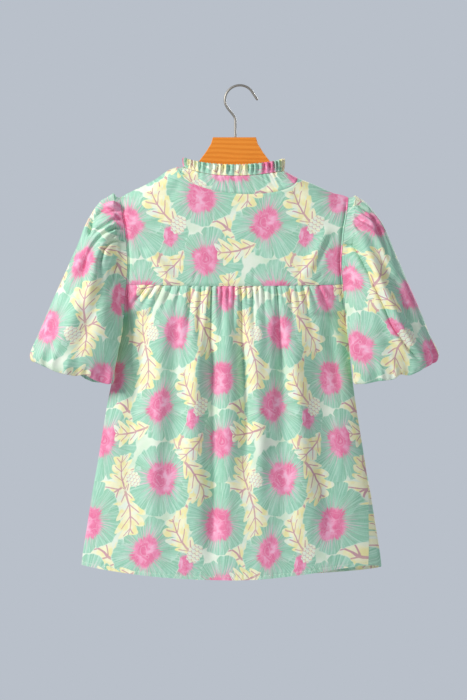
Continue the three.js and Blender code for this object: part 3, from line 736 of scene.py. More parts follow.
Source = Union[Signal, float, tuple]
Slot = Union[int, str]


class Bench:
    """Lays shader nodes on one tree and joins them."""

    def __init__(self, tree: bpy.types.NodeTree) -> None:
        """Keeps the tree."""
        self.tree = tree
        self.laid = 0

    def add(self, kind: str, **settings: object) -> bpy.types.Node:
        """Adds a node in the next free place.

        Args:
            kind: the node's type.
            settings: its properties by name.

        Returns:
            The node.
        """
        node = self.tree.nodes.new(kind)
        node.location = (self.laid % 14 * 190, -(self.laid // 14) * 210)
        self.laid += 1
        for name, value in settings.items():
            setattr(node, name, value)
        return node

    def feed(self, socket: bpy.types.NodeSocket, value: Source) -> None:
        """Joins a signal to a socket, or sets the socket's own value.

        Args:
            socket: the socket.
            value: the signal, or a plain value.
        """
        if isinstance(value, Signal):
            self.tree.links.new(value.socket, socket)
        else:
            socket.default_value = value

    def join(self, kind: str, feeds: dict[Slot, Source], output: Slot = 0, **settings: object) -> Signal:
        """Adds a node and feeds its inputs.

        Args:
            kind: the node's type.
            feeds: what feeds each input, by the input's place or name.
            output: the place or name of the output that is wanted.
            settings: the node's properties by name.

        Returns:
            The node's output.
        """
        node = self.add(kind, **settings)
        for slot, value in feeds.items():
            self.feed(node.inputs[slot], value)
        return Signal(self, node.outputs[output])

    def math(self, operation: str, *values: Source) -> Signal:
        """Returns the result of a sum on numbers."""
        return self.join("ShaderNodeMath", dict(enumerate(values)), operation=operation)

    def vector(self, operation: str, *values: Source) -> Signal:
        """Returns the result of a sum on vectors."""
        output = "Value" if operation == "LENGTH" else "Vector"
        return self.join("ShaderNodeVectorMath", dict(enumerate(values)), output, operation=operation)

    def scaled(self, vector: Signal, factor: Source) -> Signal:
        """Returns a vector multiplied by a number."""
        return self.join("ShaderNodeVectorMath", {0: vector, "Scale": factor}, operation="SCALE")

    def parts(self, vector: Signal) -> tuple[Signal, Signal, Signal]:
        """Splits a vector.

        Args:
            vector: the vector.

        Returns:
            Its three numbers.
        """
        node = self.add("ShaderNodeSeparateXYZ")
        self.feed(node.inputs[0], vector)
        return tuple(Signal(self, output) for output in node.outputs)

    def joined(self, x: Source, y: Source, z: Source) -> Signal:
        """Returns the vector of three numbers."""
        return self.join("ShaderNodeCombineXYZ", {0: x, 1: y, 2: z})

    def noise(self, place: Signal, scale: float, detail: float = 1.0) -> Signal:
        """Returns the value, from 0 to 1, of a noise pattern at a place."""
        return self.join("ShaderNodeTexNoise", {"Vector": place, "Scale": scale, "Detail": detail})

    def white(self, value: Signal) -> Signal:
        """Returns a random value from 0 to 1 that belongs to a whole number."""
        return self.join("ShaderNodeTexWhiteNoise", {"W": value}, "Value", noise_dimensions="1D")

    def cut_place(self) -> Signal:
        """Returns the place in the flat cut, in millimetres."""
        return self.scaled(self.join("ShaderNodeUVMap", {}, uv_map=CUT_MAP), 1 / METRE)

    def object_place(self) -> Signal:
        """Returns the place on the object, in metres."""
        return self.join("ShaderNodeTexCoord", {}, "Object")

    def blend(self, share: Source, below: Source, above: Source) -> Signal:
        """Returns one colour laid over another by a share."""
        return self.join("ShaderNodeMix", {0: share, 6: below, 7: above}, 2, data_type="RGBA")


@dataclass(frozen=True)
class Motif:
    """One motif of the print: where it lies in the repeat, its size, its turn and its own variation."""

    across: float
    down: float
    size: float
    turn: float
    seed: float


@dataclass(frozen=True)
class PrintColours:
    """The colours of the print."""

    ground: Colour = linear("e9f2dc")
    ground_shade: Colour = linear("cfe6c6")
    mint: Colour = linear("9ad4b3")
    mint_deep: Colour = linear("7bbf98")
    mint_cool: Colour = linear("86cbb0")
    mint_pale: Colour = linear("c3e6cf")
    petal_line: Colour = linear("e4f1da")
    pink: Colour = linear("f67fae")
    pink_hot: Colour = linear("e8508c")
    pink_pale: Colour = linear("f7b9d2")
    cream: Colour = linear("f6f2c4")
    yellow: Colour = linear("f4e99c")
    leaf_white: Colour = linear("e6efd9")
    vein: Colour = linear("c27b92")
    stem: Colour = linear("d09a95")


@dataclass(frozen=True)
class FloralPrint:
    """A repeating print of large ruffled flowers, lobed leaves and small buds."""

    colours: PrintColours = PrintColours()
    repeat_across: float = 226.0
    repeat_down: float = 232.0
    petal_count: int = 6
    leaves_below: tuple[Motif, ...] = (
        Motif(6, 222, 86, 2.0, 1.7), Motif(8, 112, 88, 0.9, 4.2), Motif(118, 46, 84, 3.5, 7.7),
        Motif(110, 158, 84, -0.9, 5.1))
    flowers_below: tuple[Motif, ...] = (
        Motif(46, 52, 60, 0.4, 2.0), Motif(52, 168, 59, 4.1, 8.0), Motif(108, 10, 34, 1.0, 5.5))
    flowers_above: tuple[Motif, ...] = (Motif(160, 106, 61, 2.2, 5.0), Motif(170, 220, 60, 5.4, 11.0))
    leaves_above: tuple[Motif, ...] = (
        Motif(100, 106, 74, -0.6, 3.1), Motif(112, 196, 70, 2.5, 6.2), Motif(216, 158, 74, -0.25, 9.9),
        Motif(222, 26, 66, 1.35, 12.5), Motif(106, 52, 58, 0.75, 8.1), Motif(2, 96, 56, 2.9, 1.4))
    buds: tuple[Motif, ...] = (Motif(94, 226, 21, 0.5, 2.6), Motif(206, 108, 19, -0.9, 8.6))

    def own_place(self) -> bpy.types.NodeTree:
        """Makes the group that turns a place on the cloth into a place on one motif.

        Returns:
            The group.
        """
        group = bpy.data.node_groups.new("place_on_motif", "ShaderNodeTree")
        for name, kind in (("Place", "NodeSocketVector"), ("Centre", "NodeSocketVector"),
                           ("Turn", "NodeSocketFloat"), ("Share", "NodeSocketFloat")):
            group.interface.new_socket(name, in_out="INPUT", socket_type=kind)
        group.interface.new_socket("Own", in_out="OUTPUT", socket_type="NodeSocketVector")
        bench = Bench(group)
        given = bench.add("NodeGroupInput")
        value = {socket.name: Signal(bench, socket) for socket in given.outputs if socket.name}
        half = (self.repeat_across / 2, self.repeat_down / 2, 1.0)
        away = bench.vector("SUBTRACT", value["Place"], value["Centre"])
        wrapped = bench.vector("WRAP", away, half, tuple(-h for h in half))
        feeds = {"Vector": wrapped, "Angle": value["Turn"]}
        turned = bench.join("ShaderNodeVectorRotate", feeds, rotation_type="Z_AXIS")
        own = bench.scaled(turned, value["Share"])
        bench.feed(bench.add("NodeGroupOutput").inputs["Own"], own)
        return group

    def nearest(self, bench: Bench, place: Signal, motifs: Sequence[Motif]) -> tuple[Signal, Source]:
        """Picks the motif that lies nearest.

        Args:
            bench: the bench of the cloth's material.
            place: the place on the cloth.
            motifs: motifs of one kind, apart from each other.

        Returns:
            The place on that motif, where 1 is its size, and its variation.
        """
        group = bpy.data.node_groups.get("place_on_motif") or self.own_place()
        best, seed = None, 0.0
        for motif in motifs:
            feeds = {"Place": place, "Centre": (motif.across, motif.down, 0.0), "Turn": motif.turn,
                     "Share": 1 / motif.size}
            own = bench.join("ShaderNodeGroup", feeds, "Own", node_tree=group)
            if best is None:
                best, seed = own, motif.seed
                continue
            closer = bench.math("LESS_THAN", bench.vector("LENGTH", own), bench.vector("LENGTH", best))
            best = bench.join("ShaderNodeMix", {0: closer, 4: best, 5: own}, 1, data_type="VECTOR")
            seed = closer * (motif.seed - seed) + seed
        return best, seed

    def petals(self, bench: Bench, own: Signal, seed: Source) -> tuple[Signal, Signal]:
        """Paints overlapping round petals with fine streaks.

        Args:
            bench: the bench of the cloth's material.
            own: the place on the flower.
            seed: the flower's variation.

        Returns:
            Their colour, and how far inside their rim a place lies.
        """
        tone = self.colours
        x, y, _ = bench.parts(own)
        radius = bench.vector("LENGTH", own)
        hx, hy, _ = bench.parts(bench.vector("NORMALIZE", own))
        wobble = bench.noise(bench.joined(x + seed, y, seed), 2.4, 2.0) - 0.5
        turn = bench.math("ARCTAN2", y, x)
        swayed = turn + bench.math("SINE", turn * 2.0 + seed) * 0.25 + wobble * 0.9
        count = float(self.petal_count)
        petal = bench.math("WRAP", (swayed / (2 * math.pi) + 0.5) * count, count, 0.0)
        part = bench.math("FRACT", petal)
        own_tone = bench.white(petal - part + seed)
        crown = bench.math("SQRT", part * (1.0 - part) * 4.0)
        frills = bench.math("SINE", turn * 26.0 + wobble * 12.0)
        inside = crown * 0.17 + own_tone * 0.12 + wobble * 0.2 + frills * 0.012 + 0.76 - radius
        rays = bench.noise(bench.joined(hx * 8.0 + seed, hy * 8.0, radius * 0.8), 1.5)
        fine = bench.noise(bench.joined(hx * 26.0, hy * 26.0 + seed, radius * 1.6 + wobble * 2.0), 1.2)
        colour = bench.blend(rays.ramp(0.3, 0.68), tone.mint_deep, tone.mint)
        colour = bench.blend(own_tone * 0.34, colour, tone.mint_cool)
        under = part.ramp(0.62, 1.0) * radius.ramp(0.1, 0.75)
        colour = bench.blend(under * 0.85, colour, tone.mint_deep)
        colour = bench.blend(fine.ramp(0.47, 0.64) * radius.ramp(0.25, 0.7) * 0.62, colour, tone.mint_pale)
        lip = (part.ramp(0.075, 0.0) + part.ramp(0.985, 1.0)) * radius.ramp(0.3, 0.75) * 0.6
        colour = bench.blend(lip, colour, tone.mint_pale)
        return bench.blend(inside.ramp(0.045, 0.0) * 0.9, colour, tone.petal_line), inside

    def flower(self, bench: Bench, own: Signal, seed: Source) -> tuple[Signal, Signal]:
        """Paints a round-petalled flower with a ragged pink heart.

        Args:
            bench: the bench of the cloth's material.
            own: the place on the flower.
            seed: the flower's variation.

        Returns:
            Its colour, and where it covers the cloth.
        """
        tone = self.colours
        petals, inside = self.petals(bench, own, seed)
        heart = bench.vector("SUBTRACT", own, (0.07, -0.06, 0.0))
        reach = bench.vector("LENGTH", heart)
        hx, hy, _ = bench.parts(bench.vector("NORMALIZE", heart))
        jag = bench.noise(bench.joined(hx * 17.0 + seed, hy * 17.0, reach * 1.4), 1.4, 3.0) - 0.5
        blob = bench.noise(bench.joined(hx * 0.8 + seed, hy * 0.8, 1.7), 1.0) - 0.5
        edge = jag * 0.42 + blob * 0.5 + 0.41 - reach
        whiskers = bench.noise(bench.joined(hx * 24.0, hy * 24.0 + seed, 0.9), 1.3).ramp(0.52, 0.66)
        colour = bench.blend(whiskers * edge.ramp(-0.4, -0.05) * 0.8, petals, tone.pink_pale)
        colour = bench.blend(whiskers * edge.ramp(-0.17, 0.0) * 0.75, colour, tone.pink)
        x, y, _ = bench.parts(heart)
        patch = bench.noise(bench.joined(x + seed, y, 0.6), 3.2, 2.0)
        strokes = bench.math("SINE", reach * 44.0 + patch * 34.0)
        pink = bench.blend(patch.ramp(0.4, 0.62), tone.pink_hot, tone.pink)
        pink = bench.blend(patch.ramp(0.52, 0.64) * edge.ramp(0.04, 0.2) * 0.75, pink, tone.pink_pale)
        pink = bench.blend(strokes.ramp(0.5, 1.0) * edge.ramp(0.06, 0.2) * 0.45, pink, tone.pink_pale)
        pink = bench.blend(whiskers * edge.ramp(0.3, 0.0) * 0.55, pink, tone.pink_pale)
        return bench.blend(edge.ramp(-0.025, 0.035), colour, pink), inside.ramp(0.0, 0.02)

    def leaf(self, bench: Bench, own: Signal, seed: Source) -> tuple[Signal, Signal]:
        """Paints a lobed leaf with a branched vein.

        Args:
            bench: the bench of the cloth's material.
            own: the place on the leaf.
            seed: the leaf's variation.

        Returns:
            Its colour, and where it covers the cloth.
        """
        tone = self.colours
        x, y, _ = bench.parts(own)
        wobble = bench.noise(bench.joined(x, y, seed), 3.0) - 0.5
        bend = x + bench.math("SINE", (y + 0.5) * 3.1) * 0.1 + wobble * 0.12
        side = abs(bend)
        run = y + 0.5
        raked = run - side * 0.75
        arch = bench.math("MAXIMUM", raked * (1.0 - raked) * 4.0, 0.0) ** 0.55
        notch = abs(bench.math("SINE", raked * 12.0 + seed)) ** 0.6
        wide = arch * (notch * 0.68 + 0.32 + wobble * 0.5) * 0.36
        patch = bench.noise(bench.joined(x + seed, y, 0.4), 5.0)
        fill = bench.blend(patch.ramp(0.42, 0.6), tone.cream, tone.yellow)
        light = bench.noise(bench.joined(x, y + seed, 2.2), 3.4)
        fill = bench.blend(light.ramp(0.54, 0.7), fill, tone.leaf_white)
        rib = (0.032 - side - run * 0.016).ramp(0.0, 0.009) * run.ramp(0.0, 0.08)
        beat = bench.math("PINGPONG", (run - side * 1.1) * 12.0 + seed - 1.57, 1.5708)
        branch = (0.26 - beat).ramp(0.0, 0.1) * (wide * 0.75 - side).ramp(0.0, 0.02)
        vein = bench.math("MAXIMUM", rib, branch)
        line = bench.blend(wobble.ramp(-0.1, 0.2), tone.vein, tone.stem)
        return bench.blend(vein * 0.9, fill, line), (wide - side).ramp(0.0, 0.018)

    def bud(self, bench: Bench, own: Signal, seed: Source) -> tuple[Signal, Signal]:
        """Paints a small closed bud with overlapping scales.

        Args:
            bench: the bench of the cloth's material.
            own: the place on the bud.
            seed: the bud's variation.

        Returns:
            Its colour, and where it covers the cloth.
        """
        tone = self.colours
        x, y, _ = bench.parts(own)
        wobble = bench.noise(bench.joined(x + seed, y, 0.0), 3.0) - 0.5
        side = abs(x) * 1.25
        reach = bench.math("SQRT", side * side + y * y)
        frill = bench.math("SINE", bench.math("ARCTAN2", y, x) * 9.0)
        inside = frill * 0.05 + wobble * 0.2 - y * 0.25 + 0.72 - reach
        row = y * 3.6 + 9.0
        step = bench.math("FRACT", row)
        shifted_x = x * 3.0 + (row - step) * 0.5
        slot = bench.math("FRACT", shifted_x) - 0.5
        arc = bench.math("SQRT", slot * slot + step * step * 0.8)
        outline = abs(arc - 0.5).ramp(0.11, 0.03)
        fill = bench.blend((wobble + step * 0.3).ramp(-0.15, 0.35), tone.cream, tone.leaf_white)
        return bench.blend(outline * 0.7, fill, tone.vein), inside.ramp(0.0, 0.035)

    def lay(self, bench: Bench, place: Signal) -> Signal:
        """Lays the whole print.

        Args:
            bench: the bench of the cloth's material.
            place: where in the flat cut a point lies, in millimetres.

        Returns:
            The print's colour.
        """
        tone = self.colours
        soft = bench.noise(place, 0.02, 2.0)
        colour = bench.blend(soft.ramp(0.42, 0.62), tone.ground, tone.ground_shade)
        layers = ((self.leaf, self.leaves_below), (self.flower, self.flowers_below),
                  (self.flower, self.flowers_above), (self.leaf, self.leaves_above), (self.bud, self.buds))
        for paint, motifs in layers:
            painted, cover = paint(bench, *self.nearest(bench, place, motifs))
            colour = bench.blend(cover, colour, painted)
        return colour


class Dressing:
    """A material in the making: its shader, and the bench that feeds it."""

    def __init__(self, name: str) -> None:
        """Starts the material.

        Args:
            name: the material's name.
        """
        self.material = bpy.data.materials.new(name)
        self.material.use_nodes = True
        self.bench = Bench(self.material.node_tree)
        self.shader = self.material.node_tree.nodes["Principled BSDF"]

    def colour(self, value: Signal) -> None:
        """Feeds the base colour."""
        self.bench.feed(self.shader.inputs["Base Color"], value)

    def level(self, socket: str, value: float) -> None:
        """Sets one number on the shader's own socket."""
        self.shader.inputs[socket].default_value = value

    def relief(self, height: Signal, strength: float, depth: float) -> None:
        """Gives the surface a fine relief; a height of 1 stands for the depth, in metres."""
        feeds = {"Strength": strength, "Distance": depth, "Height": height}
        self.bench.feed(self.shader.inputs["Normal"], self.bench.join("ShaderNodeBump", feeds))


@dataclass(frozen=True)
class PrintedCotton:
    """Plain-weave printed cotton."""

    pattern: FloralPrint = FloralPrint()
    roughness: float = 0.82
    sheen: float = 0.22
    sheen_roughness: float = 0.45
    specular: float = 0.28
    thread_pitch: float = 0.42
    slub: float = 0.06
    # painted shade of the weave: a dark tone laid faintly where the threads cross, over the print
    painted_weave_shade: Colour = (0.25, 0.34, 0.28, 1.0)
    painted_weave_shade_share: float = 0.05
    relief_strength: float = 0.35
    relief_depth_metres: float = 0.0002

    def material(self) -> bpy.types.Material:
        """Makes the cloth's material, once.

        Returns:
            The material.
        """
        known = bpy.data.materials.get("floral_cotton")
        if known:
            return known
        dressing = Dressing("floral_cotton")
        bench = dressing.bench
        place = bench.cut_place()
        printed = self.pattern.lay(bench, place)
        x, y, _ = bench.parts(place)
        warp = bench.math("SINE", x * (math.pi / self.thread_pitch))
        weft = bench.math("SINE", y * (math.pi / self.thread_pitch))
        weave = warp * weft
        slubs = bench.noise(bench.joined(x * 0.12, y * 1.6, 0.0), 1.0, 3.0) - 0.5
        slubs = slubs + bench.noise(bench.joined(x * 1.6, y * 0.12, 4.0), 1.0, 3.0) - 0.5
        tint = bench.blend((slubs * self.slub + 0.03) * 4.0, printed, WHITE)
        # painted weave shade: a small share of a dark tone follows the threads' crossings, as the relief
        # does
        dressing.colour(bench.blend((weave * 0.5 + 0.5) * self.painted_weave_shade_share, tint, self.painted_weave_shade))
        dressing.level("Roughness", self.roughness)
        dressing.level("Sheen Weight", self.sheen)
        dressing.level("Sheen Roughness", self.sheen_roughness)
        dressing.level("Specular IOR Level", self.specular)
        dressing.relief(weave * 0.35 + slubs, self.relief_strength, self.relief_depth_metres)
        return dressing.material


@dataclass(frozen=True)
class VarnishedWood:
    """Clear-varnished orange-brown wood with its grain along the hanger."""

    light: Colour = linear("f29434")
    dark: Colour = linear("e28024")
    fleck: Colour = linear("c96c1a")
    roughness: float = 0.62
    specular: float = 0.22
    relief_strength: float = 0.25
    relief_depth_metres: float = 0.0002

    def material(self) -> bpy.types.Material:
        """Makes the wood's material.

        Returns:
            The material.
        """
        dressing = Dressing("varnished_wood")
        bench = dressing.bench
        x, y, z = bench.parts(bench.object_place())
        drift = bench.noise(bench.joined(x * 6.0, y * 20.0, z * 14.0), 1.0, 2.0)
        rings = bench.math("SINE", z * 900.0 + y * 260.0 + drift * 16.0)
        fine = bench.noise(bench.joined(x * 24.0, y * 500.0, z * 900.0), 1.0, 3.0)
        grain = bench.blend(rings.ramp(-0.6, 0.9) * 0.75, self.light, self.dark)
        dressing.colour(bench.blend(fine.ramp(0.55, 0.75) * 0.6, grain, self.fleck))
        dressing.level("Roughness", self.roughness)
        dressing.level("Specular IOR Level", self.specular)
        dressing.relief(fine + rings * 0.3, self.relief_strength, self.relief_depth_metres)
        return dressing.material


@dataclass(frozen=True)
class DrawnSteel:
    """Drawn steel wire with fine marks along it."""

    bright: Colour = linear("b3aea4")
    dull: Colour = linear("98928a")
    roughness: float = 0.5
    relief_strength: float = 0.05
    relief_depth_metres: float = 0.0001

    def material(self) -> bpy.types.Material:
        """Makes the wire's material.

        Returns:
            The material.
        """
        dressing = Dressing("drawn_steel")
        bench = dressing.bench
        x, y, _ = bench.parts(bench.cut_place())
        marks = bench.noise(bench.joined(x * 5.0, y * 0.25, 0.0), 1.0, 4.0)
        dressing.colour(bench.blend(marks.ramp(0.35, 0.7), self.bright, self.dull))
        dressing.level("Metallic", 1.0)
        dressing.level("Roughness", self.roughness)
        dressing.relief(marks, self.relief_strength, self.relief_depth_metres)
        return dressing.material


@dataclass(frozen=True)
class SewingThread:
    """Pale sewing thread."""

    light: Colour = linear("e4eedd")
    shade: Colour = linear("b7d3bd")
    roughness: float = 0.6
    twist_scale: float = 1800.0

    def material(self) -> bpy.types.Material:
        """Makes the thread's material.

        Returns:
            The material.
        """
        dressing = Dressing("sewing_thread")
        bench = dressing.bench
        twist = bench.noise(bench.object_place(), self.twist_scale)
        dressing.colour(bench.blend(twist.ramp(0.4, 0.6), self.light, self.shade))
        dressing.level("Roughness", self.roughness)
        return dressing.material


# Pieces


@dataclass(frozen=True)
class Cut:
    """The flat size of a piece of cloth, and how it is held."""

    width: float
    length: float
    area: float
    held: str


def finish_cloth(
        piece: bpy.types.Object, cut: Cut, rests_on: Sequence[bpy.types.Object], *nodes: str) -> None:
    """Dresses a cloth piece, attaches it to the body and hides the part's nodes that it stands for.

    Args:
        piece: the piece.
        cut: its flat cut; not used.
        rests_on: what it hangs from; not used.
        nodes: the nodes of the part that it stands for.
    """
    piece.data.materials.append(PrintedCotton().material())
    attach(piece, BODY)
    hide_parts(*nodes)


def shifted(points: Array, form: BodyForm) -> Array:
    """Moves points of the blouse to its place on the hanger."""
    return points + np.array([form.shift, 0.0, 0.0])


def hang_panel(name: str, panel: "Panel", holder: bpy.types.Object, *nodes: str) -> bpy.types.Object:
    """Makes, places and dresses the yoke, the back or the front.

    Args:
        name: the piece's name.
        panel: the panel.
        holder: what it hangs from.
        nodes: the nodes of the part that it stands for.

    Returns:
        The piece.
    """
    grid = panel.grid()
    grid.points = shifted(grid.points, panel.form)
    piece = cloth_object(name, grid, panel.thickness)
    finish_cloth(piece, panel.cut, [holder], *nodes)
    return piece


@dataclass(frozen=True)
class Gather:
    """One gather under the yoke: where it starts, its drift, length, depth and width."""

    x: float
    drift: float
    length: float
    depth: float
    width: float = 2.3


@dataclass
class BackYoke:
    """The plain yoke across the shoulders."""

    form: BodyForm
    neck: NeckForm
    seam_middle: float = -320.0
    seam_side: float = -317.0
    thickness: float = 0.9
    rows: Rows = Rows(26, 0.14, 52, 5, 0.03)
    squared: tuple[float, float] = (0.005, 0.3)
    seam_dip: float = 1.1
    seam_swell: float = 0.5
    neck_dip: float = 0.9
    cut: Cut = Cut(364, 208, 0.0573, "hung")
    creases: tuple[Crease, ...] = (
        Crease(((135, -278), (118, -298), (103, -314)), 3.2, 1.9),
        Crease(((150, -262), (128, -296), (116, -316)), 4.5, 1.2),
        Crease(((-153, -238), (-134, -281), (-118, -314)), 3.4, 2.1),
        Crease(((-140, -300), (-132, -309), (-126, -318)), 2.2, 1.4),
        Crease(((-108, -290), (-101, -304), (-97, -318)), 2.6, 1.1),
        Crease(((60, -296), (63, -308), (64, -319)), 2.4, 1),
        Crease(((-30, -298), (-31, -308), (-30, -319)), 2.2, 0.9),
        Crease(((168, -196), (150, -206), (128, -212)), 4.0, 1.2),
        Crease(((-170, -190), (-150, -200), (-130, -206)), 4.0, 1.1),
        Crease(((86, -148), (96, -172), (110, -190)), 5.0, 1.1),
        Crease(((-92, -166), (-104, -182), (-120, -196)), 5.0, 1.1),
    )
    ripple: Ripple = Ripple(3, 0.4)

    def seam_z(self, share: Array) -> Array:
        """Returns the yoke seam's height at a share of the half width."""
        return mix(self.seam_middle, self.seam_side, share * share)

    def grid(self) -> ClothGrid:
        """Shapes the yoke.

        Returns:
            Its middle surface.
        """
        x_top, top = PanelColumns(self.form, self.neck).places(Side.BACK)
        edge = x_top[0]
        down = self.rows.spaced()
        even = np.linspace(edge, -edge, len(x_top))
        x = mix(x_top, even, smooth(*self.squared, down))
        share = np.clip(x / edge, -1, 1)
        z = mix(top, self.seam_z(share), down)
        angle = np.degrees(np.arcsin(share))
        flat_x = self.form.middle(z) + self.form.half(z) * sin_deg(angle)
        relief = total_height(self.creases, flat_x, z) + self.ripple.height(flat_x, z)
        drop = (1 - down) * (top - self.seam_z(share))
        relief = relief * smooth(0, 30, top - z)
        relief = relief - self.seam_dip * bump(drop, 2.2) + self.seam_swell * bump(drop - 6, 3.5)
        at_neck = np.abs(x_top - self.neck.seam.x) < self.neck.seam.half_width
        points = self.form.point(angle, z, Side.BACK, relief - self.neck_dip * bump(top - z, 2.0) * at_neck)
        points[..., 1] -= self.form.armhole_groove(points)
        return ClothGrid(points, x + 0 * down, -z + 0 * x)

    def build(self, hanger: bpy.types.Object) -> bpy.types.Object:
        """Makes and dresses the yoke."""
        return hang_panel("yoke_cloth", self, hanger, "back_yoke")


@dataclass
class Hem:
    """The narrow turned and stitched hem."""

    middle: float = -786.0
    side: float = -765.0
    depth: float = 6.0
    swell: float = 0.55
    pucker: float = 0.3
    pucker_pitch: float = 7.3

    def z(self, share: Array) -> Array:
        """Returns the hem's height at a share of the half width."""
        return mix(self.middle, self.side, share * share)

    def relief(self, above: Array, along: Array) -> Array:
        """Returns the relief of the turned hem and its stitching.

        Args:
            above: height above the hem's edge.
            along: distance along the hem.

        Returns:
            Heights out from the cloth.
        """
        turned = self.swell * (1 - smooth(self.depth - 0.8, self.depth + 0.6, above))
        groove = 0.45 * bump(above - self.depth, 1.0)
        wave = np.sin(2 * math.pi * along / self.pucker_pitch + 1.7 * np.sin(along * 0.07))
        return turned - groove + self.pucker * wave * bump(above - self.depth, 5.0)


@dataclass
class BackPanel:
    """The back below the yoke, gathered into the yoke seam."""

    form: BodyForm
    yoke: BackYoke
    hem: Hem
    thickness: float = 0.9
    columns: int = 300
    cut: Cut = Cut(500, 470, 0.227, "gathered")
    print_at: tuple[float, float] = (31.0, -57.0)
    rows: Rows = Rows(44, 0.2, 78, 12, 0.032)
    seam_gap: float = 0.2
    seam_dip: float = 1.7
    puff: float = 2.0
    puff_edge: tuple[float, float] = (128.0, 150.0)
    gather_ridge: float = 0.34
    gather_spread: float = 1.6
    gathers: tuple[Gather, ...] = (
        Gather(138, 30, 44, 4.4, 2.2), Gather(126, 20, 38, 2.6, 1.6), Gather(114, 17, 50, 4.4, 2.1),
        Gather(99, 12, 36, 3.4, 1.8), Gather(86, 6, 40, 2.8, 1.5), Gather(70, 0, 125, 5.4, 2.5),
        Gather(63, 1, 30, 2.2, 1.3), Gather(53, 1, 60, 4.0, 1.8), Gather(46, 1, 26, 2.2, 1.3),
        Gather(36.5, 1, 175, 6.4, 2.6), Gather(27, -1, 44, 2.8, 1.4), Gather(20, -1, 78, 4.2, 1.8),
        Gather(9, 0, 36, 3.0, 1.5), Gather(1, -1, 96, 4.2, 2.0), Gather(-10, -2, 120, 5.0, 2.3),
        Gather(-19, -1, 34, 2.6, 1.4), Gather(-28, -3, 86, 4.2, 1.9), Gather(-37, -2, 40, 2.8, 1.4),
        Gather(-46, -2, 62, 3.6, 1.8), Gather(-57, -3, 40, 2.8, 1.5), Gather(-67, -4, 140, 5.6, 2.5),
        Gather(-74, -4, 30, 2.2, 1.3), Gather(-86, -6, 66, 4.0, 2.0), Gather(-97, -6, 34, 2.6, 1.4),
        Gather(-108, -9, 60, 4.0, 1.9), Gather(-118, -11, 34, 2.6, 1.4), Gather(-133, -15, 46, 3.8, 2.0),
    )
    creases: tuple[Crease, ...] = (
        Crease(((36, -400), (36, -520), (34, -640), (36, -770)), 7.0, 5.1, 0.5, 0.1, 0.2),
        Crease(((-12, -400), (-20, -520), (-22, -640)), 6.0, 3.9, 0.5),
        Crease(((69, -400), (77, -500), (84, -600)), 6.0, 2.7, 0.5),
        Crease(((-72, -400), (-84, -500), (-92, -620)), 7.0, 3.6, 0.5),
        Crease(((142, -372), (150, -450), (168, -560)), 7.0, 3, 0.4),
        Crease(((-146, -372), (-160, -440), (-176, -540)), 7.0, 3, 0.4),
        Crease(((178, -420), (160, -470), (150, -520)), 8.0, 2.4, 0.4),
        Crease(((-60, -560), (-52, -640), (-50, -700)), 8.0, 2.4, 0.4),
        Crease(((110, -560), (118, -650), (120, -720)), 9.0, 2.7, 0.4),
        Crease(((-130, -600), (-150, -680), (-158, -740)), 8.0, 2.7, 0.4),
    )
    ripple: Ripple = Ripple(11, 0.55)

    def gather_height(self, x: Array, drop: Array) -> Array:
        """Returns the relief of the gathers.

        Args:
            x: place across the seam.
            drop: distance below the seam.

        Returns:
            Heights out from the cloth.
        """
        total = self.puff * smooth(0, 14, drop) * (1 - smooth(40, 170, drop))
        total = total * (1 - smooth(*self.puff_edge, np.abs(x)))
        for gather in self.gathers:
            along = drop / gather.length
            line = gather.x + gather.drift * along
            wide = gather.width * (1 + self.gather_spread * np.minimum(along, 2))
            fade = (0.5 + 0.5 * smooth(0, 7, drop)) * np.exp(-(along ** 2) * 1.1)
            away = np.abs(x - line) / wide
            ridge = self.gather_ridge * bump(away - 2.2, 1.3)
            total = total + gather.depth * fade * (ridge - np.exp(-away ** 1.5))
        return total

    def top(self, place: Array) -> Array:
        """Returns the height of the panel's upper edge, just under the yoke seam."""
        return self.yoke.seam_z(place) - self.seam_gap

    def place(self, down: Array, place: Array) -> tuple[Array, Array, Array]:
        """Returns angle, height and relief for rows and columns.

        Args:
            down: shares of the panel's length.
            place: shares of the seam's half width, from 1 at the left to -1 at the right.

        Returns:
            Arrays of one shape.
        """
        seam_half = float(self.form.half(self.yoke.seam_side))
        top = self.top(place)
        z = mix(top, self.hem.z(place), down)
        angle = np.degrees(np.arcsin(np.clip(place, -1, 1))) + 0 * down
        swung = np.where(place < 0, angle * self.form.side_swing(z) / 90, angle)
        x = self.form.middle(z) + self.form.half(z) * sin_deg(swung)
        drop = top - z
        relief = self.gather_height(place * seam_half + 0 * z, drop) - self.seam_dip * bump(drop, 3.2)
        relief = relief + total_height(self.creases, x, z) * smooth(0, 40, drop)
        relief = relief + self.ripple.height(x, z) * smooth(0, 30, drop)
        relief = relief + self.hem.relief(z - self.hem.z(place), x)
        return swung, z, relief

    def grid(self) -> ClothGrid:
        """Shapes the panel.

        Returns:
            Its middle surface.
        """
        down = self.rows.spaced()
        place = np.linspace(1, -1, self.columns)[None, :]
        angle, z, relief = self.place(down, place)
        points = self.form.point(angle, z, Side.BACK, relief)
        points[..., 1] -= self.form.armhole_groove(points)
        across = place * self.cut.width / 2 + self.print_at[0] + 0 * z
        return ClothGrid(points, across, -z + self.print_at[1] + 0 * place)

    def build(self, yoke: bpy.types.Object) -> bpy.types.Object:
        """Makes and dresses the panel."""
        return hang_panel("back_cloth", self, yoke, "back_panel")


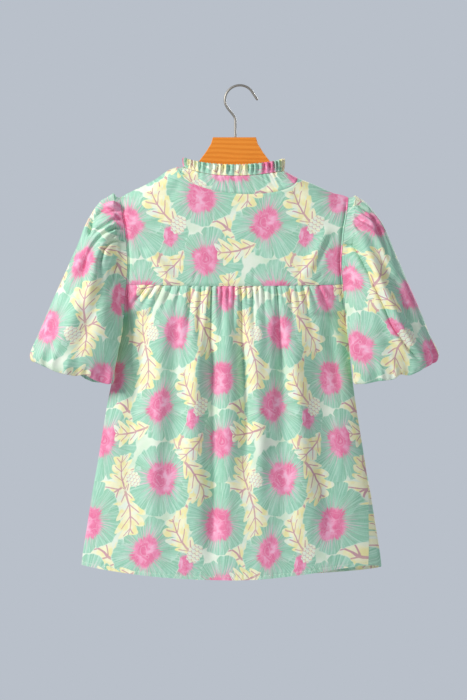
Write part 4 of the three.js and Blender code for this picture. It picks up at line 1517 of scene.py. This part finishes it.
@dataclass
class FrontPanel:
    """The plain front, from the shoulders to the hem."""

    form: BodyForm
    neck: NeckForm
    hem: Hem
    thickness: float = 0.9
    cut: Cut = Cut(490, 670, 0.262, "hung")
    rows: Rows = Rows(28, 0.05, 108, 12, 0.023)
    columns_on_shoulder: int = 38
    columns_on_neck: int = 130
    squared: tuple[float, float] = (0.002, 0.1)
    print_at: tuple[float, float] = (17.0, 83.0)
    flare: float = 1.3
    top_share: float = 0.78
    creases: tuple[Crease, ...] = (
        Crease(((60, -215), (72, -300), (84, -420), (90, -560)), 8.0, 3.1, 0.5),
        Crease(((-64, -225), (-74, -300), (-84, -420), (-96, -600)), 8.0, 3.4, 0.5),
        Crease(((8, -235), (4, -340), (2, -520), (10, -700)), 9.0, 2.8, 0.5),
        Crease(((150, -300), (146, -360), (160, -470)), 6.0, 2.8, 0.4),
        Crease(((-150, -300), (-148, -360), (-164, -470)), 6.0, 2.8, 0.4),
        Crease(((130, -560), (140, -660), (150, -740)), 9.0, 3.4, 0.4),
        Crease(((-134, -560), (-146, -660), (-150, -740)), 9.0, 3.1, 0.4),
        Crease(((-24, -520), (-30, -640), (-30, -740)), 8.0, 2.8, 0.4),
    )
    ripple: Ripple = Ripple(23, 0.55)

    def grid(self) -> ClothGrid:
        """Shapes the panel.

        Returns:
            Its middle surface.
        """
        columns = PanelColumns(self.form, self.neck, self.columns_on_shoulder, self.columns_on_neck)
        x_top, top = columns.places(Side.FRONT)
        edge = x_top[0]
        down = self.rows.spaced()
        even = np.linspace(edge, -edge, len(x_top))
        x = mix(x_top, even, smooth(*self.squared, down))
        share = np.clip(x / edge, -1, 1)
        z = mix(top, self.hem.z(share), down)
        angle = np.degrees(np.arcsin(share))
        swung = np.where(x < 0, angle * (180 - self.form.side_swing(z)) / 90, angle)
        flat_x = self.form.middle(z) + self.form.half(z) * sin_deg(swung)
        relief = total_height(self.creases, flat_x, z) + self.ripple.height(flat_x, z)
        relief = relief * smooth(0, 40, top - z) + self.hem.relief(z - self.hem.z(share), flat_x)
        points = self.form.point(180 - swung, z, Side.FRONT, relief)
        across = self.print_at[0] - x * self.flare * mix(self.top_share, 1, down)
        return ClothGrid(points, across, -z + self.print_at[1] + 0 * x)

    def build(self, hanger: bpy.types.Object) -> bpy.types.Object:
        """Makes and dresses the panel."""
        return hang_panel("front_cloth", self, hanger, "front_panel_upper", "front_panel_lower")


Panel = Union[BackYoke, BackPanel, FrontPanel]


@dataclass
class StandCollar:
    """The neck band and the gathered ruffle on it."""

    form: BodyForm
    neck: NeckForm
    band_columns: int = 420
    band_rows: int = 18
    frill_columns: int = 1000
    frill_rows: int = 13
    frill_waves: int = 50
    frill_depth: float = 2.9
    thickness: float = 0.7
    frill_pitch: tuple[float, float] = (0.78, 1.25)
    frill_height: tuple[float, float] = (0.75, 1.2)
    frill_lean: tuple[float, float] = (-0.5, 0.5)
    wrinkles: int = 64
    wrinkle_lean: tuple[float, float] = (-9.0, 12.0)
    wrinkle_width: tuple[float, float] = (1.4, 3.2)
    wrinkle_depth: tuple[float, float] = (0.25, 0.8)
    band_cut: Cut = Cut(470, 26, 0.0120, "hung")
    band_print: tuple[float, float] = (40.0, -12.0)
    frill_cut: Cut = Cut(730, 19, 0.0137, "gathered")
    frill_print: tuple[float, float] = (90.0, 178.0)
    seed: int = 5

    def band_points(self, angle: Array, up: Array) -> Array:
        """Returns points of the band from the neck seam to the ruffle.

        Args:
            angle: angles round the neck.
            up: 0 at the neck seam and 1 at the ruffle.

        Returns:
            Points of the band's middle surface.
        """
        low = self.neck.seam_point(angle + 0 * up)
        high = self.neck.stand.point(angle + 0 * up)
        return low + (high - low) * np.asarray(up)[..., None]

    def band(self) -> bpy.types.Object:
        """Makes the band with its soft uneven wrinkles.

        Returns:
            The band.
        """
        turn = np.linspace(0, 360, self.band_columns, endpoint=False)
        angle = turn[None, :] + 1.2 * sin_deg(2 * turn)[None, :]
        up = np.linspace(0.0, 1.0, self.band_rows)[:, None]
        points = self.band_points(angle, up)
        around = float(self.band_cut.width)
        tall = self.band_cut.length
        length = around * turn / 360
        draw = np.random.default_rng(self.seed)
        relief = np.zeros(points.shape[:2])
        for _ in range(self.wrinkles):
            at, lean = draw.uniform(0, around), draw.uniform(*self.wrinkle_lean)
            wide, deep = draw.uniform(*self.wrinkle_width), draw.uniform(*self.wrinkle_depth)
            away = (length[None, :] - at - lean * up + around / 2) % around - around / 2
            relief += deep * (0.5 * bump(np.abs(away) - 2 * wide, wide) - bump(away, wide))
        rise = up * tall
        relief = relief * smooth(0, 3, rise) * (0.55 + 0.45 * smooth(8, 22, rise))
        relief = relief + 0.7 * bump(rise - 2.4, 1.8) - 0.9 * bump(rise, 1.2) - 0.8 * bump(rise - tall, 1.5)
        across = np.linspace(0, around, self.band_columns + 1)[None, :] + 0 * up
        cut_down = -(rise + 0 * across) + self.band_print[1]
        grid = ClothGrid(points, across + self.band_print[0], cut_down, True)
        outward = grid.normals()
        outward *= np.sign((outward[..., 1] * points[..., 1]).sum())
        grid.points = shifted(points + outward * relief[..., None], self.form)
        return cloth_object("band_cloth", grid, self.thickness)

    def ruffle(self) -> bpy.types.Object:
        """Makes the ruffle in narrow gathered waves.

        Returns:
            The ruffle.
        """
        draw = np.random.default_rng(self.seed + 1)
        pitch = draw.uniform(*self.frill_pitch, self.frill_waves)
        ends = np.concatenate([[0], np.cumsum(pitch)]) * 360 / pitch.sum()
        tall = draw.uniform(*self.frill_height, self.frill_waves + 1)
        lean = draw.uniform(*self.frill_lean, self.frill_waves + 1)
        tall[-1], lean[-1] = tall[0], lean[0]
        turn = np.linspace(0, 360, self.frill_columns, endpoint=False)
        k = np.clip(np.searchsorted(ends, turn, side="right") - 1, 0, self.frill_waves - 1)
        share = (turn - ends[k]) / (ends[k + 1] - ends[k])
        height = mix(tall[k], tall[k + 1], share)[None, :]
        lean_here = mix(lean[k], lean[k + 1], share)[None, :]
        up = np.linspace(0.03, 1, self.frill_rows)[:, None]
        swing = np.sin(2 * math.pi * share)[None, :]
        wave = np.sign(swing) * np.abs(swing) ** 0.75
        side = np.sin(4 * math.pi * share)[None, :] * 0.9
        depth = self.frill_depth * height * (0.12 + 0.88 * smooth(0, 0.75, up)) * (0.8 + 0.2 * up)
        low = self.neck.stand.point(turn)[None, :, :]
        high = self.neck.frill.point(turn)[None, :, :]
        points = low + (high - low) * up[..., None]
        along = unit(self.neck.stand.point(turn + 1) - self.neck.stand.point(turn - 1))[None, :, :]
        outward = unit(np.stack([-along[..., 1], along[..., 0], 0 * along[..., 0]], axis=-1))
        points = points + outward * (wave * depth)[..., None]
        points = points + along * ((side * 0.8 + lean_here * 1.6) * up * smooth(0, 1, up))[..., None]
        points[..., 2] += 0.9 * np.sin(2 * math.pi * share * 2 + 1.0)[None, :] * up ** 2
        across = np.linspace(0, self.frill_cut.width, self.frill_columns + 1)[None, :] + 0 * up
        cut_down = -up * self.frill_cut.length + 0 * across + self.frill_print[1]
        grid = ClothGrid(shifted(points, self.form), across + self.frill_print[0], cut_down, True)
        return cloth_object("ruffle_cloth", grid, self.thickness)

    def build(self, yoke: bpy.types.Object) -> list[bpy.types.Object]:
        """Makes and dresses the band and the ruffle.

        Args:
            yoke: what the band hangs from.

        Returns:
            Both pieces.
        """
        band, ruffle = self.band(), self.ruffle()
        finish_cloth(band, self.band_cut, [yoke], "neck_band")
        finish_cloth(ruffle, self.frill_cut, [band], "neck_ruffle")
        return [band, ruffle]


def fall_to_edge(points: Array, reach: int = 12) -> Array:
    """Measures how far up a ring of cloth each point lies from its lower edge.

    Args:
        points: rings of points from the top down.
        reach: how many neighbours on either side are averaged, so that gathers don't count.

    Returns:
        Lengths, 0 at the lower edge.
    """
    steps = np.linalg.norm(np.diff(points, axis=0), axis=2)
    fall = np.concatenate([np.zeros((1, points.shape[1])), np.cumsum(steps, axis=0)])
    fall = sum(np.roll(fall, k, axis=1) for k in range(-reach, reach + 1)) / (2 * reach + 1)
    return fall[-1:] - fall


@dataclass(frozen=True)
class SleeveFold:
    """A long fold down a sleeve, by the angle from its outer line."""

    angle: float
    drift: float
    start: float
    end: float
    spread: float
    height: float


@dataclass(frozen=True)
class Sag:
    """How far a stretch of the sleeve's edge hangs lower, or higher where the drop is below 0."""

    angle: float
    spread: float
    drop: float


@dataclass
class Sleeve:
    """A puff sleeve, gathered at its head and at its edge, with the casing inside the edge."""

    form: BodyForm
    hand: Hand
    columns: int = 324
    head_rows: int = 9
    arm_rows: int = 101
    edge_rows: int = 34
    casing_rows: int = 9
    head_end: float = 0.05
    edge_start: float = 0.85
    thickness: float = 0.9
    turned_edge: float = 1.2
    stand: float = 3.0
    clear: float = 4.5
    lap_angle: float = 150.0
    lap_spread: float = 18.0
    head_gathers: int = 28
    head_gather_depth: float = 4.6
    edge_gathers: int = 14
    edge_gather_depth: float = 5.2
    casing_height: float = 12.0
    cut: Cut = Cut(410, 290, 0.095, "gathered")
    casing_cut: Cut = Cut(300, 12, 0.0035, "gathered")
    left_print: tuple[float, float] = (120.0, 30.0)
    right_print: tuple[float, float] = (20.0, 150.0)
    ripple_seed: int = 40
    ripple_depth: float = 0.7
    ripple_around: float = 400.0
    ripple_down: float = 250.0
    out_x: Profile = Profile((0.05, 193), (0.14, 211), (0.28, 231), (0.45, 252), (0.65, 276), (0.85, 305),
                             (1.0, 321), (1.1, 316), (1.2, 305))
    out_z: Profile = Profile((0.05, -177.5), (0.14, -190), (0.28, -216), (0.45, -263), (0.65, -320),
                             (0.85, -389), (1.0, -431), (1.1, -441), (1.2, -441))
    in_x: Profile = Profile((0.05, 180), (0.14, 181.5), (0.28, 183.5), (0.45, 187), (0.65, 191),
                            (0.85, 195), (1.0, 197), (1.1, 202), (1.2, 210))
    in_z: Profile = Profile((0.05, -367.5), (0.14, -376), (0.28, -390), (0.45, -411), (0.65, -434),
                            (0.85, -455), (1.0, -468), (1.1, -474), (1.2, -470))
    half: Profile = Profile((0.05, 27), (0.14, 33), (0.28, 39), (0.45, 44), (0.65, 45), (0.85, 43),
                            (1.0, 36), (1.1, 31), (1.2, 26))
    behind: Profile = Profile((0.05, 0), (0.14, 2), (0.28, 5), (0.45, 8), (0.65, 10), (0.85, 11), (1.2, 11))
    lap: Profile = Profile((0.05, 0), (0.14, 5), (0.28, 8), (0.45, 9), (0.65, 10), (0.85, 11), (1.0, 12),
                           (1.1, 13), (1.2, 10))
    left_sag: tuple[Sag, ...] = (
        Sag(75, 30, 5.0), Sag(113, 9, -5.5), Sag(142, 14, 4.0), Sag(-60, 22, 6.0), Sag(-92, 9, -4.5),
        Sag(-122, 20, 6.0))
    right_sag: tuple[Sag, ...] = (
        Sag(84, 42, 9.5), Sag(88, 8, -6.0), Sag(140, 12, 3.0), Sag(-70, 26, 6.5), Sag(-100, 9, -5.0),
        Sag(-130, 18, 5.0))
    folds: tuple[SleeveFold, ...] = (
        SleeveFold(22, 14, 0.02, 0.5, 8, -5.2), SleeveFold(62, -22, 0.1, 0.9, 9, -6.5),
        SleeveFold(100, -10, 0.15, 1.0, 11, -5.2), SleeveFold(80, -14, 0.2, 1.0, 9, 4.5),
        SleeveFold(-60, 20, 0.1, 0.9, 10, -5.9), SleeveFold(-100, 10, 0.2, 1.0, 11, -5.2),
    )
    left_creases: tuple[Crease, ...] = (
        Crease(((181, -203), (198, -197), (214, -199), (226, -212), (231, -232), (232, -256)),
               3.0, 5.4, 0.2, 0.04, 0.3, 8.0, 22.0),
        Crease(((181, -246), (198, -250), (208, -262), (213, -282), (214, -312)),
               2.8, 5.0, 0.2, 0.04, 0.4, 6.4, 20.0),
        Crease(((183, -186), (198, -184), (214, -190)), 2.2, 3.4),
        Crease(((181, -215), (192, -214), (203, -219)), 2.0, 3.6),
        Crease(((181, -226), (192, -229), (202, -238)), 2.0, 3.8),
        Crease(((181, -236), (190, -240), (198, -250)), 1.9, 3.2),
        Crease(((234, -262), (238, -320), (244, -392)), 5.0, 5.0),
        Crease(((184, -268), (193, -300), (201, -350)), 3.0, 3.6),
        Crease(((266, -300), (278, -350), (290, -420)), 5.0, 3.4),
    )
    right_creases: tuple[Crease, ...] = (
        Crease(((300, -438), (273, -414), (250, -382), (233, -342), (210, -290), (193, -257), (174, -241)),
               3.0, 6.4, 0.25, 0.12, 0.06, -7.6, 20.0),
        Crease(((181, -190), (198, -194), (214, -208)), 2.2, 3.6),
        Crease(((181, -201), (194, -207), (206, -222)), 2.1, 3.8),
        Crease(((180, -214), (192, -220), (203, -238)), 2.1, 3.8),
        Crease(((179, -226), (188, -232), (196, -246)), 1.9, 3.2),
        Crease(((214, -196), (226, -216), (236, -250)), 3.0, 3.8),
        Crease(((190, -310), (204, -356), (222, -402)), 5.0, 4.0),
        Crease(((252, -300), (268, -340), (286, -392)), 5.0, 3.8),
    )

    def ring_angle(self, share: Array, down: Array) -> tuple[Array, Array]:
        """Returns the angle round the arm, and the one that shares the ring evenly.

        Args:
            share: shares of the way round, from the shoulder point.
            down: places down the sleeve.

        Returns:
            Both angles from -180 to 180.
        """
        height = (self.form.armhole_top - self.form.armhole_foot) / 2
        fine = np.linspace(0, 360, 1441)
        middle = (fine[1:] + fine[:-1]) / 2
        speed = np.hypot(height * sin_deg(middle), self.form.armhole_half_depth * cos_deg(middle))
        length = np.concatenate([[0], np.cumsum(speed)])
        seam = np.interp(share * length[-1], length, fine)
        even = 360 * share
        angle = mix(seam, even, smooth(0, 0.4, down))
        return np.where(angle > 180, angle - 360, angle), np.where(even > 180, even - 360, even) + 0 * down

    def armhole(self, angle: Array) -> Array:
        """Walks round the armhole's edge.

        Args:
            angle: 0 at the shoulder point, 90 at the back.

        Returns:
            Points of the edge, on the sleeve's side.
        """
        centre = (self.form.armhole_top + self.form.armhole_foot) / 2
        z = centre + (self.form.armhole_top - self.form.armhole_foot) / 2 * cos_deg(angle)
        return stack(self.form.half(z) + 0.6, self.form.armhole_half_depth * sin_deg(angle), z)

    def gathers(self, share: Array, even: Array, down: Array) -> Array:
        """Returns the relief of the gathers at the head and at the edge.

        Args:
            share: shares of the way round.
            even: the even angle, from -180 to 180.
            down: places down the sleeve.

        Returns:
            Heights out from the sleeve.
        """
        phase = 1.3 if self.hand is Hand.LEFT else 4.1
        uneven = 1 + 0.35 * np.sin(share * 47 + phase) + 0.25 * np.sin(share * 91 + 2 * phase)
        warped = share * self.head_gathers + 0.28 * np.sin(share * 33 + phase)
        near = 1 - smooth(58, 78, np.abs(even + 6))
        head = near * smooth(0.0, 0.03, down) * (1 - smooth(0.08, 0.4 + 0.08 * np.sin(share * 61), down))
        folded = np.abs(np.cos(math.pi * warped)) ** 1.6
        relief = self.head_gather_depth * head * uneven * (0.5 - folded)
        rim_phase = share * self.edge_gathers + 0.2 * np.sin(share * 27 + phase)
        rim = smooth(0.78, 1.02, down) * (1 - 0.85 * smooth(1.05, self.turned_edge, down))
        rim_fold = np.abs(np.cos(math.pi * rim_phase)) ** 1.4
        small = 0.7 * np.cos(2 * math.pi * share * 31 + 2 * np.sin(share * 19)) * smooth(0.9, 1.05, down)
        return relief + self.edge_gather_depth * rim * uneven * (0.5 - rim_fold) + small * rim

    def sag(self, angle: Array, down: Array) -> Array:
        """Returns how far the full edge hangs below the line of its casing.

        Args:
            angle: angles round the arm.
            down: places down the sleeve.

        Returns:
            Lengths down the arm.
        """
        low = smooth(0.78, 1.02, down) * (1 - 0.75 * smooth(1.08, self.turned_edge, down))
        parts = self.left_sag if self.hand is Hand.LEFT else self.right_sag
        return low * sum(part.drop * bump(angle - part.angle, part.spread) for part in parts)

    def points(self, share: Array, down: Array) -> Array:
        """Returns points of the sleeve as if it were the left one.

        Args:
            share: shares of the way round, from the shoulder point.
            down: 0 at the armhole, 1 at the full edge and on to the turned edge.

        Returns:
            Points of the sleeve's middle surface.
        """
        share, down = np.broadcast_arrays(share, down)
        angle, even = self.ring_angle(share, down)
        turn = np.radians(angle)
        outer = stack(self.out_x(down), 0, self.out_z(down))
        inner = stack(self.in_x(down), 0, self.in_z(down))
        centre, reach = (outer + inner) / 2, (outer - inner) / 2
        half = self.half(down)
        points = centre + reach * np.cos(turn)[..., None]
        points[..., 1] = self.behind(down) + half * np.sin(turn)
        outward = reach * (np.cos(turn) / (reach ** 2).sum(-1))[..., None]
        outward[..., 1] = np.sin(turn) / half
        relief = self.gathers(share, even, down) + self.stand * smooth(0.0, 0.03, down)
        for fold in self.folds:
            along = (down - fold.start) / (fold.end - fold.start)
            fade = smooth(0, 0.25, along) * (1 - smooth(0.7, 1, along))
            relief = relief + fold.height * fade * bump(angle - fold.angle - fold.drift * along, fold.spread)
        creases = self.left_creases if self.hand is Hand.LEFT else self.right_creases
        at_back = smooth(-5, 25, angle) * (1 - smooth(165, 180, angle))
        relief = relief + at_back * total_height(creases, points[..., 0], points[..., 2])
        ripple = Ripple(self.ripple_seed + self.hand.value, self.ripple_depth)
        uneven = ripple.height(share * self.ripple_around, down * self.ripple_down)
        relief = relief + uneven * smooth(0, 0.2, down)
        points = points + unit(outward) * relief[..., None]
        points = points - self.rising() * self.sag(angle, down)[..., None]
        points[..., 0] -= self.lap(down) * bump(angle - self.lap_angle, self.lap_spread)
        if self.hand is Hand.LEFT:
            points[..., 0] += self.clear * smooth(0.4, 0.75, down) * bump(180 - np.abs(angle), 30)
        start = self.armhole(self.ring_angle(share, 0 * down)[0])
        return start + (points - start) * smooth(-0.05, 0.05, down)[..., None] * (down > 0)[..., None]

    def rising(self) -> Array:
        """Finds the way up the arm, square to the gathered edge.

        Returns:
            A unit vector.
        """
        edge = self.turned_edge
        fall = self.in_z(edge) - self.out_z(edge)
        run = self.out_x(edge) - self.in_x(edge)
        return unit(np.array([float(fall), 0.0, float(run)]))

    def turned(self, grid: ClothGrid) -> ClothGrid:
        """Mirrors a left sleeve's grid for the right one, and shifts it into place.

        Args:
            grid: the grid as for the left sleeve.

        Returns:
            The same grid, moved.
        """
        points = grid.points.copy()
        points[..., 0] *= self.hand.value
        grid.points = shifted(points, self.form)
        return grid

    def build(self, yoke: bpy.types.Object) -> list[bpy.types.Object]:
        """Makes and dresses the sleeve and its casing.

        Args:
            yoke: what the sleeve hangs from.

        Returns:
            The sleeve and the casing.
        """
        name = self.hand.name.lower()
        share = np.linspace(0, 1, self.columns, endpoint=False)[None, :]
        down = np.concatenate([
            self.head_end * np.linspace(0, 1, self.head_rows) ** 1.5,
            np.linspace(self.head_end, self.edge_start, self.arm_rows + 1)[1:],
            np.linspace(self.edge_start, self.turned_edge, self.edge_rows + 1)[1:]])[:, None]
        points = self.points(share, down)
        across = np.linspace(0, self.cut.width, self.columns + 1)[None, :] + 0 * down
        offset = self.left_print if self.hand is Hand.LEFT else self.right_print
        fall = fall_to_edge(points)
        grid = ClothGrid(points, across + offset[0], np.hstack([fall, fall[:, :1]]) + offset[1], True)
        piece = cloth_object(f"sleeve_cloth_{name}", self.turned(grid), self.thickness)
        finish_cloth(piece, self.cut, [yoke], f"sleeve_{name}")
        rise = np.linspace(0.3, self.casing_height, self.casing_rows)[:, None]
        base = self.points(share, np.full(rise.shape, self.turned_edge))
        lifted = base + self.rising() * rise[..., None]
        across = np.linspace(0, self.casing_cut.width, self.columns + 1)[None, :] + 0 * rise
        casing_grid = ClothGrid(lifted, across, -rise + 0 * across, True)
        casing = cloth_object(f"casing_{name}", self.turned(casing_grid), self.thickness)
        finish_cloth(casing, self.casing_cut, [piece], f"cuff_{name}")
        return [piece, casing]


@dataclass
class Hanger:
    """The wooden hanger and its wire hook."""

    wire: float = 3.8
    radius: float = 22.1
    stem_x: float = 7.2
    seat: float = -81.3
    stem_top: float = -54.0
    bend_z: float = -44.0
    bend_below: float = 14.0
    open_angle: float = 140.0
    tail: tuple[float, float] = (-9.1, -13.8)
    edge_round: float = 0.9

    def hook_path(self) -> Array:
        """Draws the wire from its seat in the wood to its open end.

        Returns:
            Points of its middle line.
        """
        reach = self.radius + self.wire / 2
        centre_z = self.wire / 2 - reach
        stem = [(self.stem_x, z) for z in np.linspace(self.seat, self.stem_top, 8)]
        corners = np.array([
            (self.stem_x, self.stem_top), (self.stem_x, self.bend_z),
            (reach, centre_z - self.bend_below), (reach, centre_z)])
        bend = []
        for t in np.linspace(0, 1, 17)[1:]:
            weights = np.array([(1 - t) ** 3, 3 * t * (1 - t) ** 2, 3 * t * t * (1 - t), t ** 3])
            bend.append(tuple(weights @ corners))
        arc = [(reach * math.cos(math.radians(a)), centre_z + reach * math.sin(math.radians(a)))
               for a in np.linspace(0, self.open_angle, 41)[1:]]
        end = np.array(arc[-1])
        tail = [tuple(end + np.array(self.tail) * f) for f in (0.25, 0.5, 0.75, 1.0)]
        line = np.array(stem + bend + arc + tail)
        return stack(line[:, 0], 0, line[:, 1])

    def build(self) -> bpy.types.Object:
        """Dresses the wood and makes the hook.

        Returns:
            The wood, which the blouse hangs on.
        """
        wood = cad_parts["hanger_wood"]
        wood.data.materials.clear()
        wood.data.materials.append(VarnishedWood().material())
        rounding = wood.modifiers.new("rounded_edges", "BEVEL")
        rounding.width = self.edge_round * METRE
        rounding.segments = 3
        rounding.limit_method = "ANGLE"
        rounding.angle_limit = math.radians(25)
        hook = tube_object("hook_wire", self.hook_path(), self.wire / 2, 20)
        hook.data.materials.append(DrawnSteel().material())
        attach(hook, BODY)
        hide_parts("hanger_hook")
        return wood


@dataclass
class HemStitching:
    """The row of small stitches above the hem of the back."""

    back: BackPanel
    pitch: float = 3.4
    stitch: float = 2.5
    thread: float = 0.32
    above: float = 5.2
    lift: float = 0.1
    sides: int = 6
    samples: int = 4000
    along: tuple[float, ...] = (0, 0.15, 0.5, 0.85, 1)
    swell: tuple[float, ...] = (0.25, 0.85, 1.0, 0.85, 0.25)

    def build(self) -> bpy.types.Object:
        """Makes and dresses the stitches.

        Returns:
            The stitches as one piece.
        """
        form, hem = self.back.form, self.back.hem
        place = np.linspace(1, -1, self.samples)
        down = 1 - self.above / (self.back.top(place) - hem.z(place))
        angle, z, relief = self.back.place(down, place)
        line = form.point(angle, z, Side.BACK, relief) + stack(0, self.back.thickness / 2 + self.lift, 0)
        run = np.concatenate([[0], np.cumsum(np.linalg.norm(np.diff(line, axis=0), axis=1))])
        points, faces = [], []
        turns = np.linspace(0, 2 * math.pi, self.sides, endpoint=False)
        up = np.array([0.0, 1.0, 0.0])
        for start in np.arange(2, run[-1] - 4, self.pitch):
            at = np.stack([np.interp(start + self.stitch * f, run, line[:, k])
                           for f in self.along for k in range(3)], axis=0).reshape(-1, 3)
            across = unit(np.cross(unit(at[-1] - at[0]), up))
            first = len(points) * self.sides
            for middle, wide in zip(at, self.swell):
                section = np.outer(np.cos(turns), across) + np.outer(np.sin(turns), up)
                points.append(shifted(middle + section * self.thread * wide, form))
            quads, _ = grid_quads(len(self.along), self.sides, True)
            faces.append(quads + first)
        stacked = np.concatenate(points)
        all_faces = np.concatenate(faces)
        piece = mesh_object("hem_stitching", stacked, all_faces, np.zeros((len(all_faces), 4, 2)))
        piece.data.materials.append(SewingThread().material())
        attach(piece, BODY)
        return piece


# The stage


@dataclass(frozen=True)
class Lamp:
    """A square soft light: its name, place, size and power."""

    name: str
    place: tuple[float, float, float]
    size: float
    power: float


@dataclass
class Studio:
    """A pale floor, soft lights and the camera at the photograph's viewing angle, in metres."""

    middle: tuple[float, float] = (0.0101, -0.4216)
    view_height: float = 1.12
    distance: float = 3.4
    floor_z: float = -1.1
    floor_half: float = 0.6
    floor_tone: Colour = linear("d9dce1")
    floor_roughness: float = 0.9
    sensor_mm: float = 24.0
    room_tone: Colour = linear("b9c0ca")
    room_light: float = 0.6
    lamps: tuple[Lamp, ...] = (
        Lamp("key", (2.1, 1.5, 0.9), 0.7, 76), Lamp("fill", (-2.0, 2.4, -0.3), 1.8, 13),
        Lamp("front_light", (-1.3, -2.4, 0.8), 0.9, 72))

    def light(self, lamp: Lamp) -> None:
        """Adds a light that looks at the middle of the blouse.

        Args:
            lamp: the light.
        """
        source = bpy.data.lights.new(lamp.name, "AREA")
        source.size = lamp.size
        source.energy = lamp.power
        holder = bpy.data.objects.new(lamp.name, source)
        holder.location = lamp.place
        aim = Vector((self.middle[0], 0, self.middle[1])) - Vector(lamp.place)
        holder.rotation_euler = aim.to_track_quat("-Z", "Y").to_euler()
        bpy.context.scene.collection.objects.link(holder)

    def light_room(self, bench: Bench) -> None:
        """Makes the pale room, which lights the blouse less than the lamps do.

        Args:
            bench: the bench of the world's tree.
        """
        bench.tree.nodes.clear()
        shed, seen = (
            bench.join("ShaderNodeBackground", {"Color": self.room_tone, "Strength": strength})
            for strength in (self.room_light, 1.0))
        camera_ray = bench.join("ShaderNodeLightPath", {}, "Is Camera Ray")
        mixed = bench.join("ShaderNodeMixShader", {0: camera_ray, 1: shed, 2: seen})
        bench.feed(bench.add("ShaderNodeOutputWorld").inputs["Surface"], mixed)

    def build(self) -> None:
        """Sets the world, floor, lights and camera."""
        scene = bpy.context.scene
        scene.view_settings.view_transform = "Standard"
        world = bpy.data.worlds.new("pale_room")
        scene.world = world
        world.use_nodes = True
        self.light_room(Bench(world.node_tree))
        floor_mesh = bpy.data.meshes.new("floor")
        half = self.floor_half
        around = ((-half, -half), (half, -half), (half, half), (-half, half))
        corners = [(x, y, self.floor_z) for x, y in around]
        floor_mesh.from_pydata(corners, [], [(0, 1, 2, 3)])
        floor = bpy.data.objects.new("floor", floor_mesh)
        pale = bpy.data.materials.new("pale_floor")
        pale.use_nodes = True
        surface = pale.node_tree.nodes["Principled BSDF"]
        surface.inputs["Base Color"].default_value = self.floor_tone
        surface.inputs["Roughness"].default_value = self.floor_roughness
        floor_mesh.materials.append(pale)
        scene.collection.objects.link(floor)
        for lamp in self.lamps:
            self.light(lamp)
        lens = bpy.data.cameras.new("camera")
        lens.sensor_fit = "VERTICAL"
        lens.sensor_height = self.sensor_mm
        lens.lens = self.sensor_mm * self.distance / self.view_height
        camera = bpy.data.objects.new("camera", lens)
        camera.location = (self.middle[0], self.distance, self.middle[1])
        camera.rotation_euler = (math.radians(90), 0, math.radians(180))
        scene.collection.objects.link(camera)
        scene.camera = camera


def main() -> None:
    """Builds every sub-assembly in order and reports each piece."""
    logging.basicConfig(level=logging.INFO, format="%(name)s: %(message)s")
    form = BodyForm()
    neck = NeckForm(form)
    hem = Hem()
    wood = Hanger().build()
    yoke = BackYoke(form, neck)
    back = BackPanel(form, yoke, hem)
    yoke_cloth = yoke.build(wood)
    pieces = [yoke_cloth, back.build(yoke_cloth), FrontPanel(form, neck, hem).build(wood)]
    pieces += StandCollar(form, neck).build(yoke_cloth)
    for hand in Hand:
        pieces += Sleeve(form, hand).build(yoke_cloth)
    pieces.append(HemStitching(back).build())
    Studio().build()
    for piece in pieces:
        LOG.info("%s: %d faces", piece.name, len(piece.data.polygons))


if __name__ == "__main__":
    main()
